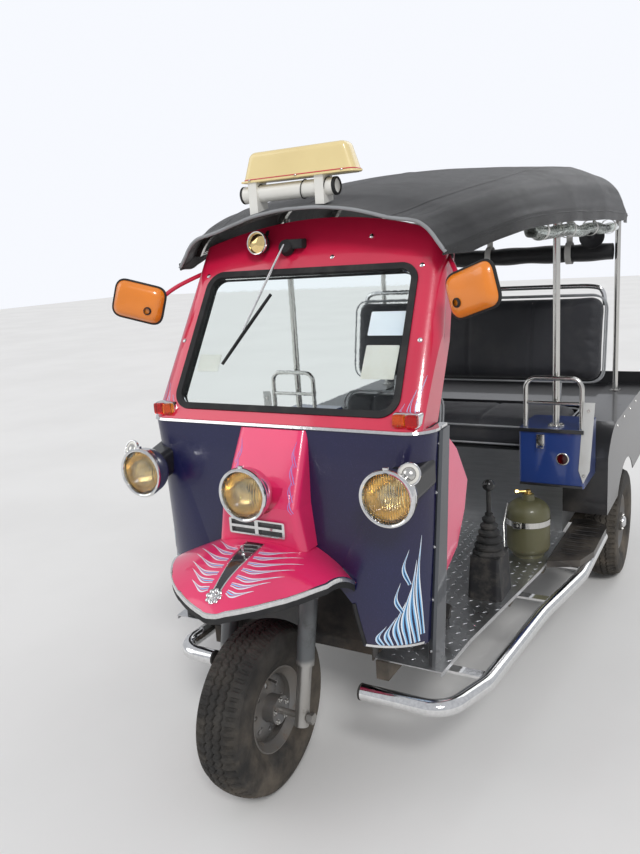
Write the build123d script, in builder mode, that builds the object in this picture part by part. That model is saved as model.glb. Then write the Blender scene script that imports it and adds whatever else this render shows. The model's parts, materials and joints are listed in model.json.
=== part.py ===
from build123d import *
from math import atan, atan2, cos, radians, sin, tan
import os

os.makedirs("parts", exist_ok=True)

# Wheels and stance. The front of the vehicle faces -Y, its left side is +X, sizes are mm.
wheelbase = 1950
track = 1330
tyre_radius = 255
tyre_width = 145
rim_radius = 127
rear_overhang = 695
overall_length = tyre_radius + wheelbase + rear_overhang
front_axle_y = tyre_radius - overall_length / 2
rear_axle_y = front_axle_y + wheelbase
rear_end_y = overall_length / 2

# Clearances
seat_gap = 0.3
running_gap = 0.05

# Chassis rails, floor and its support heights
floor_top = 360
floor_thickness = 4
rail_depth = 60
rail_width = 40
rail_spread = 300
kick_up = 90
rail_top = floor_top - floor_thickness
rail_front_y = front_axle_y + 205
kick_start_y = rear_axle_y - 495
kick_end_y = rear_axle_y - 350
rail_rear_y = rear_end_y - 110
rear_rail_top = rail_top + kick_up

# Steering axis and fork
steer_rake = 14
steer_offset = 30
fork_half_track = 135
fork_leg_radius = 21
fork_shroud_radius = 27
crown_height = 345
crown_depth = 26
stem_radius = 18
head_tube_radius = 31
head_tube_bottom = 448
dash_height = 930
dash_neck_gap = 12.75
bar_neck_gap = 140
bar_radius = 12.5
wheel_axle_radius = 10

# Cowl, the sheet-metal nose below the belt line
sheet = 4
cowl_bottom = 440
belt_height = 1070
cowl_back = 310
wheel_arch_half_width = 270
wheel_arch_top = 705
wheel_arch_spring = 590

# Windscreen and the pillars round it
pillar_wall = 25
frame_crown = 1668
frame_shoulder = 1585
gasket_width = 20
gasket_thickness = 34
glass_thickness = 6

# Lamps
lamp_radius = 77
lamp_depth = 92
side_lamp_x = 417
side_lamp_z = belt_height - 140
side_lamp_y = 40
centre_lamp_z = belt_height - 155
centre_lamp_y = -12

# Seats and rear body
bench_front_y = rear_axle_y - 500
bench_top = 700
bench_half_width = 560
bench_back_y = rear_axle_y + 90
quarter_half_width = 737
quarter_top = 800
tail_y = rear_end_y - 75
side_box_front_y = rear_axle_y - 745

# Roof
canopy_thickness = 8
tube_radius = 13
mid_post_x = 573
mid_post_y = side_box_front_y + 62
rear_post_x = 622
rear_post_y = rear_axle_y + 400


def aft(distance):
    """Y of a place that lies this far behind the front axle."""
    return front_axle_y + distance


def off_rear(distance):
    """Y of a place this far behind the rear axle, or ahead of it where the distance is negative."""
    return rear_axle_y + distance


def cross_plane(y):
    """Upright plane across the vehicle; its local axes are X and Z."""
    return Plane(origin=(0, y, 0), x_dir=(1, 0, 0), z_dir=(0, -1, 0))


def side_plane(x):
    """Upright plane along the vehicle; its local axes are Y and Z."""
    return Plane(origin=(x, 0, 0), x_dir=(0, 1, 0), z_dir=(1, 0, 0))


def level_plane(z):
    return Plane(origin=(0, 0, z), x_dir=(1, 0, 0), z_dir=(0, 0, 1))


rake = radians(steer_rake)
steer_foot = (0, front_axle_y + steer_offset * cos(rake), tyre_radius - steer_offset * sin(rake))
head_tube_top = (dash_height - dash_neck_gap - steer_foot[2]) / cos(rake)
bar_height = round(head_tube_top + bar_neck_gap)


def steer_plane(height):
    """Plane square to the steering axis; local X is across, local Y is rearwards."""
    foot = Plane(origin=steer_foot, x_dir=(1, 0, 0), z_dir=(0, sin(rake), cos(rake)))
    return foot.offset(height)


def finish(part, label):
    part.label = label
    export_step(part, f"parts/{label}.step")


def strut(start, end, radius):
    """Round bar from one point to another, added to the part that is being built."""
    axis = Vector(*end) - Vector(*start)
    with BuildSketch(Plane(origin=start, z_dir=axis)) as section:
        Circle(radius)
    extrude(section.sketch, amount=axis.length)


# Wheels: a revolved tyre, and a rim whose dished disc carries the hub
bead_share = 0.36


def tyre_profile(radius, width):
    """Section of a tyre in local axes: x along the axle, y out from it."""
    half = width / 2
    bead = bead_share * width
    shoulder = (0.42 * width, radius - 14)
    belly_y = (rim_radius + radius) / 2 + 4
    with BuildLine() as line:
        Line((-bead, rim_radius), (bead, rim_radius))
        ThreePointArc((bead, rim_radius), (half, belly_y), shoulder)
        ThreePointArc(shoulder, (0, radius), (-shoulder[0], shoulder[1]))
        ThreePointArc((-shoulder[0], shoulder[1]), (-half, belly_y), (-bead, rim_radius))
    return line


def wheel_plane(x, y):
    """Plane through a wheel's axle; local x runs along the axle, local y up."""
    return Plane(origin=(x, y, tyre_radius), x_dir=(1, 0, 0), z_dir=(0, -1, 0))


hub_radius = 42
hub_half_length = 62
disc_thickness = 6
disc_dish = 18
rim_well = 101
rim_sheet = 4
vent_circle = 72
vent_count = 8
front_axle_bore = wheel_axle_radius + running_gap
rear_stub_radius = 15
rear_bore = rear_stub_radius + running_gap

# name, x, y, side the dish faces, bore radius, hub half length
wheel_table = [
    ("front", 0, front_axle_y, 1, front_axle_bore, hub_half_length),
    ("rear_left", track / 2, rear_axle_y, 1, rear_bore, hub_half_length),
    ("rear_right", -track / 2, rear_axle_y, -1, rear_bore, hub_half_length),
]

for wheel_name, wheel_x, wheel_y, facing, bore, hub_half in wheel_table:
    plane = wheel_plane(wheel_x, wheel_y)
    axle_line = Axis((wheel_x, wheel_y, tyre_radius), (1, 0, 0))
    with BuildPart() as tyre:
        with BuildSketch(plane):
            add(tyre_profile(tyre_radius, tyre_width).line)
            make_face()
        revolve(axis=axle_line)
    finish(tyre.part, f"{wheel_name}_tyre")

    bead_half = bead_share * tyre_width
    well_half = 0.6 * bead_half
    dish = facing * disc_dish
    with BuildPart() as rim:
        with BuildSketch(plane):
            with BuildLine():
                Polyline(
                    (-bead_half, rim_radius - seat_gap), (bead_half, rim_radius - seat_gap),
                    (bead_half, rim_radius - rim_sheet), (well_half, rim_well),
                    (-well_half, rim_well), (-bead_half, rim_radius - rim_sheet),
                    close=True,
                )
            make_face()
            with BuildLine():
                Polyline(
                    (5 - well_half, rim_well + 6), (5 - well_half, rim_well - 1),
                    (well_half - 5, rim_well - 1), (well_half - 5, rim_well + 6),
                    close=True,
                )
            make_face()
            with BuildLine():
                Polyline(
                    (dish, hub_radius - 3), (dish + disc_thickness, hub_radius - 3),
                    ((dish + disc_thickness) / 2, rim_well + 1), ((dish - disc_thickness) / 2, rim_well + 1),
                    close=True,
                )
            make_face()
        revolve(axis=axle_line)
        with BuildSketch(Plane(origin=(wheel_x - hub_half, wheel_y, tyre_radius), z_dir=(1, 0, 0))):
            Circle(hub_radius)
            Circle(bore, mode=Mode.SUBTRACT)
        extrude(amount=2 * hub_half)
        with BuildSketch(Plane(origin=(wheel_x - 80, wheel_y, tyre_radius), z_dir=(1, 0, 0))):
            with PolarLocations(vent_circle, vent_count):
                SlotOverall(24, 15)
        extrude(amount=160, mode=Mode.SUBTRACT)
    finish(rim.part, f"{wheel_name}_rim")

# Front fork: crown, two legs with shrouds, stem, and the through axle that the wheel spins on
with BuildPart() as fork:
    with BuildSketch(steer_plane(crown_height)):
        with BuildLine():
            Polyline(
                (-fork_half_track, -steer_offset - 32), (fork_half_track, -steer_offset - 32),
                (fork_half_track + 32, -steer_offset), (fork_half_track, 32 - steer_offset),
                (48, 44), (-48, 44), (-fork_half_track, 32 - steer_offset),
                (-fork_half_track - 32, -steer_offset), close=True,
            )
        make_face()
    extrude(amount=crown_depth)
    with BuildSketch(steer_plane(crown_height + crown_depth / 2)):
        Circle(stem_radius)
    extrude(amount=bar_height - crown_height)
    with BuildSketch(steer_plane(150)):
        with Locations((fork_half_track, -steer_offset), (-fork_half_track, -steer_offset)):
            Circle(fork_shroud_radius)
    extrude(amount=crown_height + crown_depth + 12 - 150)
    with BuildSketch(steer_plane(-28)):
        with Locations((fork_half_track, -steer_offset), (-fork_half_track, -steer_offset)):
            Circle(fork_leg_radius)
    extrude(amount=220)
    with BuildSketch(side_plane(-fork_half_track - 40)):
        with Locations((front_axle_y, tyre_radius)):
            Circle(wheel_axle_radius)
    extrude(amount=2 * fork_half_track + 80)
    for nut_x in (-fork_half_track - 40, fork_half_track + 24):
        with BuildSketch(side_plane(nut_x)):
            with Locations((front_axle_y, tyre_radius)):
                RegularPolygon(17, 6)
        extrude(amount=16)
finish(fork.part, "front_fork")

# Handlebar, pulled back towards the driver, with its clamp on the stem
bar_reach = 90
bar_bend_x = 110
grip_x = 270
grip_reach = 250
grip_length = 105
grip_radius = 17
bar_points = [
    (-grip_x, grip_reach), (-bar_bend_x, bar_reach), (bar_bend_x, bar_reach), (grip_x, grip_reach),
]
bar_plane = steer_plane(bar_height - 20)
with BuildPart() as handlebar:
    with BuildLine(bar_plane) as bar_path:
        FilletPolyline(*bar_points, radius=60)
    with BuildSketch(Plane(origin=bar_path.line @ 0, z_dir=bar_path.line % 0)):
        Circle(bar_radius)
    sweep()
    with BuildSketch(bar_plane.offset(-18)):
        with Locations((0, bar_reach / 2)):
            RectangleRounded(56, bar_reach + 2 * stem_radius + 22, 20)
        Circle(stem_radius + seat_gap, mode=Mode.SUBTRACT)
    extrude(amount=36)
    for side in (1, -1):
        tip = bar_plane.from_local_coords(Vector(side * grip_x, grip_reach, 0))
        bend = bar_plane.from_local_coords(Vector(side * bar_bend_x, bar_reach, 0))
        with BuildSketch(Plane(origin=tip, z_dir=bend - tip)):
            Circle(grip_radius)
        extrude(amount=grip_length)
finish(handlebar.part, "handlebar")

# Chassis: two rails that kick up over the rear axle, cross members and a tow eye


def rail_side(depth_in=0):
    """Side outline of one rail, in Y and Z."""
    return [
        (rail_front_y, rail_top - depth_in), (kick_start_y, rail_top - depth_in),
        (kick_end_y, rear_rail_top - depth_in), (rail_rear_y, rear_rail_top - depth_in),
    ]


# y, top of the member, length across
cross_members = [
    (aft(330), rail_top, 2 * rail_spread),
    (aft(820), rail_top, 1040),
    (off_rear(-810), rail_top, 1120),
    (off_rear(-520), rail_top, 2 * rail_spread),
    (rear_end_y - 130, rear_rail_top, 1180),
]
tow_eye_radius = 13
tow_eye_rim = 24
tow_eye_y = rail_rear_y + 42
tow_eye_z = rear_rail_top - 66
with BuildPart() as chassis:
    for side in (1, -1):
        with BuildSketch(side_plane(side * rail_spread - rail_width / 2)):
            with BuildLine():
                Polyline(*rail_side(), *reversed(rail_side(rail_depth)), close=True)
            make_face()
        extrude(amount=rail_width)
    for member_y, member_top, member_length in cross_members:
        with BuildSketch(cross_plane(member_y + 20)):
            with Locations((0, member_top - 25)):
                Rectangle(member_length, 50)
        extrude(amount=40)
    with BuildSketch(side_plane(-8)):
        with BuildLine():
            Polyline(
                (tow_eye_y, tow_eye_z + tow_eye_rim), (rail_rear_y + 5, rear_rail_top - 12),
                (rail_rear_y - 30, rear_rail_top - 12), (rail_rear_y - 30, tow_eye_z - tow_eye_rim),
                (tow_eye_y, tow_eye_z - tow_eye_rim),
            )
            ThreePointArc(
                (tow_eye_y, tow_eye_z - tow_eye_rim), (tow_eye_y + tow_eye_rim, tow_eye_z),
                (tow_eye_y, tow_eye_z + tow_eye_rim),
            )
        make_face()
        with Locations((tow_eye_y, tow_eye_z)):
            Circle(tow_eye_radius, mode=Mode.SUBTRACT)
    extrude(amount=16)
finish(chassis.part, "chassis_frame")

# Steering neck: the head tube on two legs that stand on the front cross member
head_bottom = steer_plane(head_tube_bottom).origin
head_top = steer_plane(head_tube_top).origin
neck_leg_x = 90
neck_leg_y = aft(332)
neck_leg_radius = 15
neck_brace_radius = 13
with BuildPart() as neck:
    with BuildSketch(steer_plane(head_tube_bottom)):
        Circle(head_tube_radius)
    extrude(amount=head_tube_top - head_tube_bottom)
    for side in (1, -1):
        leg_foot = (side * neck_leg_x, neck_leg_y, rail_top + seat_gap)
        strut(leg_foot, (side * neck_leg_x, neck_leg_y, head_top.Z), neck_leg_radius)
        for brace_z in (head_bottom.Z + 45, head_top.Z - 20):
            brace_y = steer_foot[1] + (brace_z - steer_foot[2]) * sin(rake) / cos(rake)
            strut(
                (side * neck_leg_x, neck_leg_y, brace_z), (side * 14, brace_y + 14, brace_z),
                neck_brace_radius,
            )
    with BuildSketch(steer_plane(head_tube_bottom - 20)):
        Circle(stem_radius + running_gap)
    extrude(amount=head_tube_top - head_tube_bottom + 40, mode=Mode.SUBTRACT)
finish(neck.part, "steering_neck")

# Floor: one tread plate with folded edges, wider towards the passengers' entry
notch_half = wheel_arch_half_width + sheet + seat_gap
notch_y = aft(350)
floor_outline = [
    (notch_half, aft(212)), (488, aft(212)), (500, aft(430)), (572, aft(1040)),
    (572, bench_front_y - seat_gap),
]
floor_lip = 14
with BuildPart() as floor:
    with BuildSketch(level_plane(floor_top - floor_thickness)):
        with BuildLine():
            Polyline(
                (notch_half, notch_y), *floor_outline,
                *[(-x, y) for x, y in reversed(floor_outline)], (-notch_half, notch_y), close=True,
            )
        make_face()
    extrude(amount=floor_thickness)
    with BuildSketch(level_plane(floor_top - floor_lip)):
        for side in (1, -1):
            with BuildLine():
                Polyline(
                    *[(side * x, y) for x, y in floor_outline[1:]],
                    *[(side * (x - sheet), y) for x, y in reversed(floor_outline[1:])], close=True,
                )
            make_face()
    extrude(amount=floor_lip)
finish(floor.part, "floor_plate")

# Cowl: lofted between two plan sections. Columns: height, flat half width, flat y, side x, side y
cowl_sections = [
    (cowl_bottom, 120, aft(85), 446, aft(212)),
    (belt_height, 405, aft(168), 482, aft(262)),
]


def plan_outline(flat_half, flat_y, side_x, side_y, back_y, inset=0.0):
    """Plan of the nose: a flat front, round corners and straight sides, open to the back."""
    corner_x = (flat_half + side_x) / 2 + 0.24 * (side_y - flat_y)
    corner_y = (flat_y + side_y) / 2 - 0.16 * (side_x - flat_half) - 6
    flat = max(flat_half - 0.5 * inset, 10)
    corner = (corner_x - 0.7 * inset, corner_y + 0.7 * inset)
    right = [(flat, flat_y + inset), corner, (side_x - inset, side_y)]
    left = [(-x, y) for x, y in right]
    with BuildLine() as line:
        Line(left[0], right[0])
        ThreePointArc(*right)
        Line(right[2], (side_x - inset, back_y))
        Line((side_x - inset, back_y), (inset - side_x, back_y))
        Line((inset - side_x, back_y), left[2])
        ThreePointArc(left[2], left[1], left[0])
    return line


def nose_solid(sections, back_ys, inset=0.0):
    """Solid between plan sections, as a separate object."""
    faces = []
    for (z, flat_half, flat_y, side_x, side_y), back_y in zip(sections, back_ys):
        with BuildSketch(level_plane(z)) as section:
            add(plan_outline(flat_half, flat_y, side_x, side_y, back_y, inset).line)
            make_face()
        faces.append(section.sketch)
    return loft(faces, ruled=True, mode=Mode.PRIVATE)


cowl_outer = nose_solid(cowl_sections, [aft(cowl_back)] * 2)
cowl_inner = nose_solid(cowl_sections, [aft(cowl_back)] * 2, inset=sheet)
cowl_keepout = nose_solid(cowl_sections, [aft(cowl_back)] * 2, inset=-seat_gap)
# Side posts: height, inner x, outer x, front y of the outer edge
post_feet = [(floor_top, 436, 452, aft(225)), (belt_height - 2, 470, 486, aft(255))]
post_back_y = aft(318)
post_fold = 6
post_bevel = 11


def flank_end_at(z):
    """Y of the cowl's back edge, where its flank meets the side post's bevel."""
    low, high = post_feet
    share = (z - low[0]) / (high[0] - low[0])
    inner_x, outer_x, front_y = [a + share * (b - a) for a, b in zip(low[1:], high[1:])]
    side_share = (z - cowl_bottom) / (belt_height - cowl_bottom)
    side_x = cowl_sections[0][3] + side_share * (cowl_sections[1][3] - cowl_sections[0][3])
    return front_y + post_bevel * (outer_x - side_x) / (outer_x - inner_x) - 2 * seat_gap


flank_cut_x = 434
# The wheel arch flares towards its feet, and the cowl's hem drops from them to its corners
arch_foot_x = 303
arch_foot_z = 468
cowl_hem_x = 480
with BuildPart() as cowl:
    add(cowl_outer)
    add(cowl_inner, mode=Mode.SUBTRACT)
    with BuildSketch(cross_plane(aft(400))):
        with BuildLine():
            Polyline(
                (-wheel_arch_half_width, wheel_arch_spring), (-arch_foot_x, arch_foot_z),
                (-cowl_hem_x, cowl_bottom), (-cowl_hem_x, cowl_bottom - 20),
                (cowl_hem_x, cowl_bottom - 20), (cowl_hem_x, cowl_bottom), (arch_foot_x, arch_foot_z),
                (wheel_arch_half_width, wheel_arch_spring),
            )
            ThreePointArc(
                (wheel_arch_half_width, wheel_arch_spring), (0, wheel_arch_top),
                (-wheel_arch_half_width, wheel_arch_spring),
            )
        make_face()
        with Locations((0, (wheel_arch_top + head_top.Z) / 2)):
            Rectangle(2 * head_tube_radius + 14, head_top.Z + 40 - wheel_arch_top)
    extrude(amount=500, mode=Mode.SUBTRACT)
    for side in (1, -1):
        with BuildSketch(side_plane(side * flank_cut_x)):
            with BuildLine():
                Polyline(
                    (flank_end_at(cowl_bottom), cowl_bottom), (flank_end_at(belt_height), belt_height),
                    (post_back_y + 80, belt_height), (post_back_y + 80, cowl_bottom), close=True,
                )
            make_face()
        extrude(amount=side * 80, mode=Mode.SUBTRACT)
finish(cowl.part, "front_cowl")

# Side posts: folded channels that close the cowl's flanks and stand on the floor
with BuildPart() as posts:
    for side in (1, -1):
        for z, inner_x, outer_x, front_y in post_feet:
            with BuildSketch(level_plane(z)):
                with BuildLine():
                    Polyline(
                        (side * inner_x, front_y + post_bevel), (side * outer_x, front_y),
                        (side * (outer_x + post_fold), front_y + post_bevel),
                        (side * (outer_x + post_fold), post_back_y),
                        (side * inner_x, post_back_y), close=True,
                    )
                make_face()
        loft(ruled=True)
finish(posts.part, "cowl_side_posts")

# Knee wings: sheets that flare back from the posts beside the driver's knees, in the posts' lean.
# Columns: y, height above the floor
wing_root = post_back_y + seat_gap
wing_points = [
    (wing_root, 685), (aft(415), 615), (aft(520), 490), (aft(500), 400), (aft(440), 300), (wing_root, 240),
]
wing_foot_x = 445
wing_lean = atan((post_feet[1][1] - post_feet[0][1]) / (post_feet[1][0] - post_feet[0][0]))
with BuildPart() as wings:
    for side in (1, -1):
        wing_plane = Plane(
            origin=(side * wing_foot_x, 0, floor_top), x_dir=(0, 1, 0),
            z_dir=(cos(wing_lean), 0, -side * sin(wing_lean)),
        )
        with BuildSketch(wing_plane):
            with BuildLine():
                Polyline(*wing_points, close=True)
            make_face()
        extrude(amount=sheet / 2, both=True)
finish(wings.part, "knee_wings")

# Wheelhouse: the tub behind and above the steered wheel
tub_back_y = aft(296)
tub_top = 668
with BuildPart() as wheelhouse:
    with BuildSketch(level_plane(floor_top - floor_thickness)):
        with BuildLine():
            FilletPolyline(
                (wheel_arch_half_width, aft(205)), (wheel_arch_half_width, tub_back_y),
                (-wheel_arch_half_width, tub_back_y), (-wheel_arch_half_width, aft(205)), radius=70,
            )
            Line((-wheel_arch_half_width, aft(205)), (wheel_arch_half_width, aft(205)))
        make_face()
        offset(amount=sheet, kind=Kind.INTERSECTION)
    extrude(amount=tub_top - floor_top + floor_thickness)
    with BuildSketch(level_plane(floor_top - floor_thickness)):
        with BuildLine():
            FilletPolyline(
                (wheel_arch_half_width, aft(120)), (wheel_arch_half_width, tub_back_y),
                (-wheel_arch_half_width, tub_back_y), (-wheel_arch_half_width, aft(120)), radius=70,
            )
            Line((-wheel_arch_half_width, aft(120)), (wheel_arch_half_width, aft(120)))
        make_face()
    extrude(amount=tub_top - sheet - floor_top + floor_thickness, mode=Mode.SUBTRACT)
    with BuildSketch(steer_plane(crown_height)):
        Circle(stem_radius + 14)
    extrude(amount=160, mode=Mode.SUBTRACT)
finish(wheelhouse.part, "front_wheelhouse")

# Front fender: lofted arches over the wheel, trimmed to a spade-shaped plan.
# Columns: y, half width, crown height, lip height
fender_sections = [
    (aft(150), 300, 764, 560),
    (aft(40), 268, 758, 690),
    (aft(-90), 250, 728, 680),
    (aft(-245), 230, 612, 580),
]
fender_sheet = 5


def arch_ribbon(half, crown, lip, thickness):
    with BuildLine() as line:
        ThreePointArc((-half, lip), (0, crown), (half, lip))
        Line((half, lip), (half - thickness, lip))
        ThreePointArc((half - thickness, lip), (0, crown - thickness), (thickness - half, lip))
        Line((thickness - half, lip), (-half, lip))
    return line


arch_faces = []
for y, half, crown, lip in fender_sections:
    with BuildSketch(cross_plane(y)) as arch_face:
        with BuildLine():
            ThreePointArc((-half, lip), (0, crown + seat_gap), (half, lip))
            Polyline((half, lip), (half, lip - 60), (-half, lip - 60), (-half, lip))
        make_face()
    arch_faces.append(arch_face.sketch)
fender_keepout = loft(arch_faces, mode=Mode.PRIVATE)

with BuildPart() as fender:
    for y, half, crown, lip in fender_sections:
        with BuildSketch(cross_plane(y)):
            add(arch_ribbon(half, crown, lip, fender_sheet).line)
            make_face()
    loft()
    with BuildSketch(level_plane(400)):
        with BuildLine():
            Line((-300, aft(200)), (300, aft(200)))
            Line((300, aft(200)), (288, aft(110)))
            ThreePointArc((288, aft(110)), (214, aft(-95)), (0, aft(-216)))
            ThreePointArc((0, aft(-216)), (-214, aft(-95)), (-288, aft(110)))
            Line((-288, aft(110)), (-300, aft(200)))
        make_face()
    extrude(amount=500, mode=Mode.INTERSECT)
    add(cowl_keepout, mode=Mode.SUBTRACT)
    with BuildSketch(steer_plane(head_tube_bottom - 60)):
        Circle(head_tube_radius + 6)
    extrude(amount=200, mode=Mode.SUBTRACT)
finish(fender.part, "front_fender")

# Nose column: the raised centre of the cowl that holds the middle lamp.
# Columns: height, half width, front y
column_sections = [(738, 152, aft(52)), (centre_lamp_z - 53, 130, aft(52)), (belt_height - 4, 118, aft(158))]
with BuildPart() as column:
    for z, half, front_y in column_sections:
        with BuildSketch(level_plane(z)):
            with Locations((0, front_y + 60)):
                RectangleRounded(2 * half, 120, 26)
    loft(ruled=True)
    add(cowl_keepout, mode=Mode.SUBTRACT)
    add(fender_keepout, mode=Mode.SUBTRACT)
    with BuildSketch(steer_plane(head_tube_bottom - 60)):
        Circle(head_tube_radius + 2)
    extrude(amount=head_tube_top - head_tube_bottom + 80, mode=Mode.SUBTRACT)
    with BuildSketch(cross_plane(aft(centre_lamp_y + lamp_depth))):
        with Locations((0, centre_lamp_z)):
            Circle(lamp_radius + seat_gap)
    extrude(amount=lamp_depth + 60, mode=Mode.SUBTRACT)
finish(column.part, "nose_column")

# Headlamps: deep spun bowls, each closed by a domed lens. Columns: x, y of the rim, z
lamp_table = [
    (0, aft(centre_lamp_y), centre_lamp_z),
    (side_lamp_x, aft(side_lamp_y), side_lamp_z),
    (-side_lamp_x, aft(side_lamp_y), side_lamp_z),
]
lamp_wall = 3
lamp_lip = 9


def lamp_plane(x, y, z):
    """Upright plane through a lamp; its local x runs back along the lamp's axis."""
    return Plane(origin=(x, y, z), x_dir=(0, 1, 0), z_dir=(1, 0, 0))


def cap_points(start_x, radius, tip_x):
    """Start, middle and end of an arc centred on the axis, from a rim to the dome's tip."""
    rise = abs(tip_x - start_x)
    ball = (radius**2 + rise**2) / (2 * rise)
    facing = 1 if tip_x > start_x else -1
    centre = tip_x - facing * ball
    half_angle = atan2(radius, facing * (start_x - centre)) / 2
    return (start_x, radius), (centre + facing * ball * cos(half_angle), ball * sin(half_angle)), (tip_x, 0)


def bowl_outline(grow):
    """Outer form of a bowl, drawn out by grow and closed across the rim."""
    rim_points = cap_points(16, lamp_radius - 2 + grow, lamp_depth + grow)
    with BuildLine() as line:
        Line((-grow, 0), (-grow, lamp_radius + grow))
        Line((-grow, lamp_radius + grow), rim_points[0])
        ThreePointArc(*rim_points)
        Line(rim_points[2], (-grow, 0))
    return line


with BuildPart() as bowls:
    for x, y, z in lamp_table:
        lamp_axis = Axis((x, y, z), (0, 1, 0))
        with BuildSketch(lamp_plane(x, y, z)):
            add(bowl_outline(0).line)
            make_face()
        revolve(axis=lamp_axis)
        inner_points = cap_points(12, lamp_radius - lamp_lip, lamp_depth - lamp_wall)
        with BuildSketch(lamp_plane(x, y, z)):
            with BuildLine():
                Line((-2, 0), (-2, lamp_radius - lamp_lip))
                Line((-2, lamp_radius - lamp_lip), inner_points[0])
                ThreePointArc(*inner_points)
                Line(inner_points[2], (-2, 0))
            make_face()
        revolve(axis=lamp_axis, mode=Mode.SUBTRACT)
finish(bowls.part, "headlamp_bowls")

lens_radius = lamp_radius - lamp_lip - seat_gap
with BuildPart() as lenses:
    for x, y, z in lamp_table:
        dome_points = cap_points(4, lens_radius, -10)
        with BuildSketch(lamp_plane(x, y, z)):
            with BuildLine():
                Polyline((10, 0), (10, lens_radius), dome_points[0])
                ThreePointArc(*dome_points)
                Line(dome_points[2], (10, 0))
            make_face()
        revolve(axis=Axis((x, y, z), (0, 1, 0)))
finish(lenses.part, "headlamp_lenses")

# Lamp pods: brackets that reach from the cowl's corners to the side lamps
with BuildPart() as pods:
    for side in (1, -1):
        with BuildSketch(cross_plane(aft(230))):
            with Locations((side * 430, side_lamp_z + 25)):
                RectangleRounded(100, 84, 20)
        with BuildSketch(cross_plane(aft(side_lamp_y + 0.62 * lamp_depth))):
            with Locations((side * side_lamp_x, side_lamp_z)):
                RectangleRounded(86, 86, 20)
        loft(ruled=True)
    add(cowl_keepout, mode=Mode.SUBTRACT)
    for x, y, z in lamp_table[1:]:
        with BuildSketch(lamp_plane(x, y, z)):
            add(bowl_outline(seat_gap).line)
            make_face()
        revolve(axis=Axis((x, y, z), (0, 1, 0)), mode=Mode.SUBTRACT)
finish(pods.part, "lamp_pods")

# Windscreen surround. Columns as for the cowl
belt_gap = 8
screen_sections = [
    (belt_height + belt_gap, 405, aft(173), 482, aft(267)),
    (1700, 392, aft(545), 418, aft(590)),
]
screen_backs = [aft(cowl_back), aft(640)]
slope_y = screen_sections[1][2] - screen_sections[0][2]
slope_z = screen_sections[1][0] - screen_sections[0][0]
screen_lean = atan2(slope_y, slope_z)
screen_plane = Plane(
    origin=(0, screen_sections[0][2], screen_sections[0][0]), x_dir=(1, 0, 0),
    z_dir=(0, -cos(screen_lean), sin(screen_lean)),
)
aperture = [(-392, 34), (392, 34), (374, 512), (-374, 512)]
aperture_radius = 60


def aperture_sketch(plane, inset):
    """Rounded window outline on the windscreen's plane, drawn in by inset."""
    with BuildSketch(plane) as sketch:
        with BuildLine():
            FilletPolyline(*aperture, close=True, radius=aperture_radius)
        make_face()
        offset(amount=-inset)
    return sketch.sketch


with BuildPart() as surround:
    add(nose_solid(screen_sections, screen_backs))
    add(nose_solid(screen_sections, screen_backs, inset=pillar_wall), mode=Mode.SUBTRACT)
    extrude(aperture_sketch(screen_plane.offset(60), 0), amount=-160, mode=Mode.SUBTRACT)
    with BuildSketch(cross_plane(aft(700))):
        with BuildLine():
            Line((-460, 1000), (460, 1000))
            Line((460, 1000), (460, frame_shoulder))
            ThreePointArc((460, frame_shoulder), (0, frame_crown), (-460, frame_shoulder))
            Line((-460, frame_shoulder), (-460, 1000))
        make_face()
    extrude(amount=600, mode=Mode.INTERSECT)
finish(surround.part, "windscreen_surround")

with BuildPart() as gasket:
    extrude(aperture_sketch(screen_plane.offset(5), seat_gap), amount=-gasket_thickness)
    extrude(
        aperture_sketch(screen_plane.offset(6), seat_gap + gasket_width),
        amount=-gasket_thickness - 2, mode=Mode.SUBTRACT,
    )
finish(gasket.part, "windscreen_gasket")

with BuildPart() as glass:
    extrude(
        aperture_sketch(screen_plane.offset(-8), 2 * seat_gap + gasket_width),
        amount=-glass_thickness,
    )
finish(glass.part, "windscreen_glass")

# Bright trim: the grille with two by two slots on the nose column, and the belt moulding over
# the joint between cowl and surround
grille_width = 190
grille_height = 48
grille_z = 800
belt_strip = [
    (belt_height + seat_gap, *cowl_sections[1][1:]),
    (belt_height + belt_gap - seat_gap, *screen_sections[0][1:]),
]
with BuildPart() as trim:
    add(nose_solid(belt_strip, [aft(cowl_back)] * 2, inset=-6))
    add(nose_solid(belt_strip, [aft(cowl_back)] * 2, inset=16), mode=Mode.SUBTRACT)
    with BuildSketch(cross_plane(column_sections[0][2] - seat_gap)):
        with Locations((0, grille_z)):
            RectangleRounded(grille_width, grille_height, 6)
            with GridLocations(grille_width / 2 - 2, grille_height / 2 - 1, 2, 2):
                Rectangle(grille_width / 2 - 14, grille_height / 2 - 9, mode=Mode.SUBTRACT)
    extrude(amount=9)
finish(trim.part, "bright_trim")

# Dashboard shelf behind the screen, with a hole round the steering stem
stem_y = steer_foot[1] + (dash_height - steer_foot[2]) * tan(rake)
dash_y = round(stem_y) + 56
with BuildPart() as dash:
    with BuildSketch(level_plane(dash_height)):
        with Locations((0, dash_y)):
            RectangleRounded(860, 190, 24)
    extrude(amount=34)
    with BuildSketch(level_plane(dash_height + 34)):
        with Locations((-210, dash_y + 35)):
            RectangleRounded(190, 90, 20)
    extrude(amount=12)
    add(nose_solid(cowl_sections, [aft(900)] * 2, inset=sheet + seat_gap), mode=Mode.INTERSECT)
    with BuildSketch(steer_plane(head_tube_top)):
        Circle(stem_radius + 8)
    extrude(amount=200, mode=Mode.SUBTRACT)
finish(dash.part, "dashboard")

# Side bars: bent tubes low along both flanks, with flat brackets to the chassis
side_bar_radius = 24
side_bar_z = 318
bar_tail = [(700, off_rear(-820)), (700, off_rear(-390))]
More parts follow.
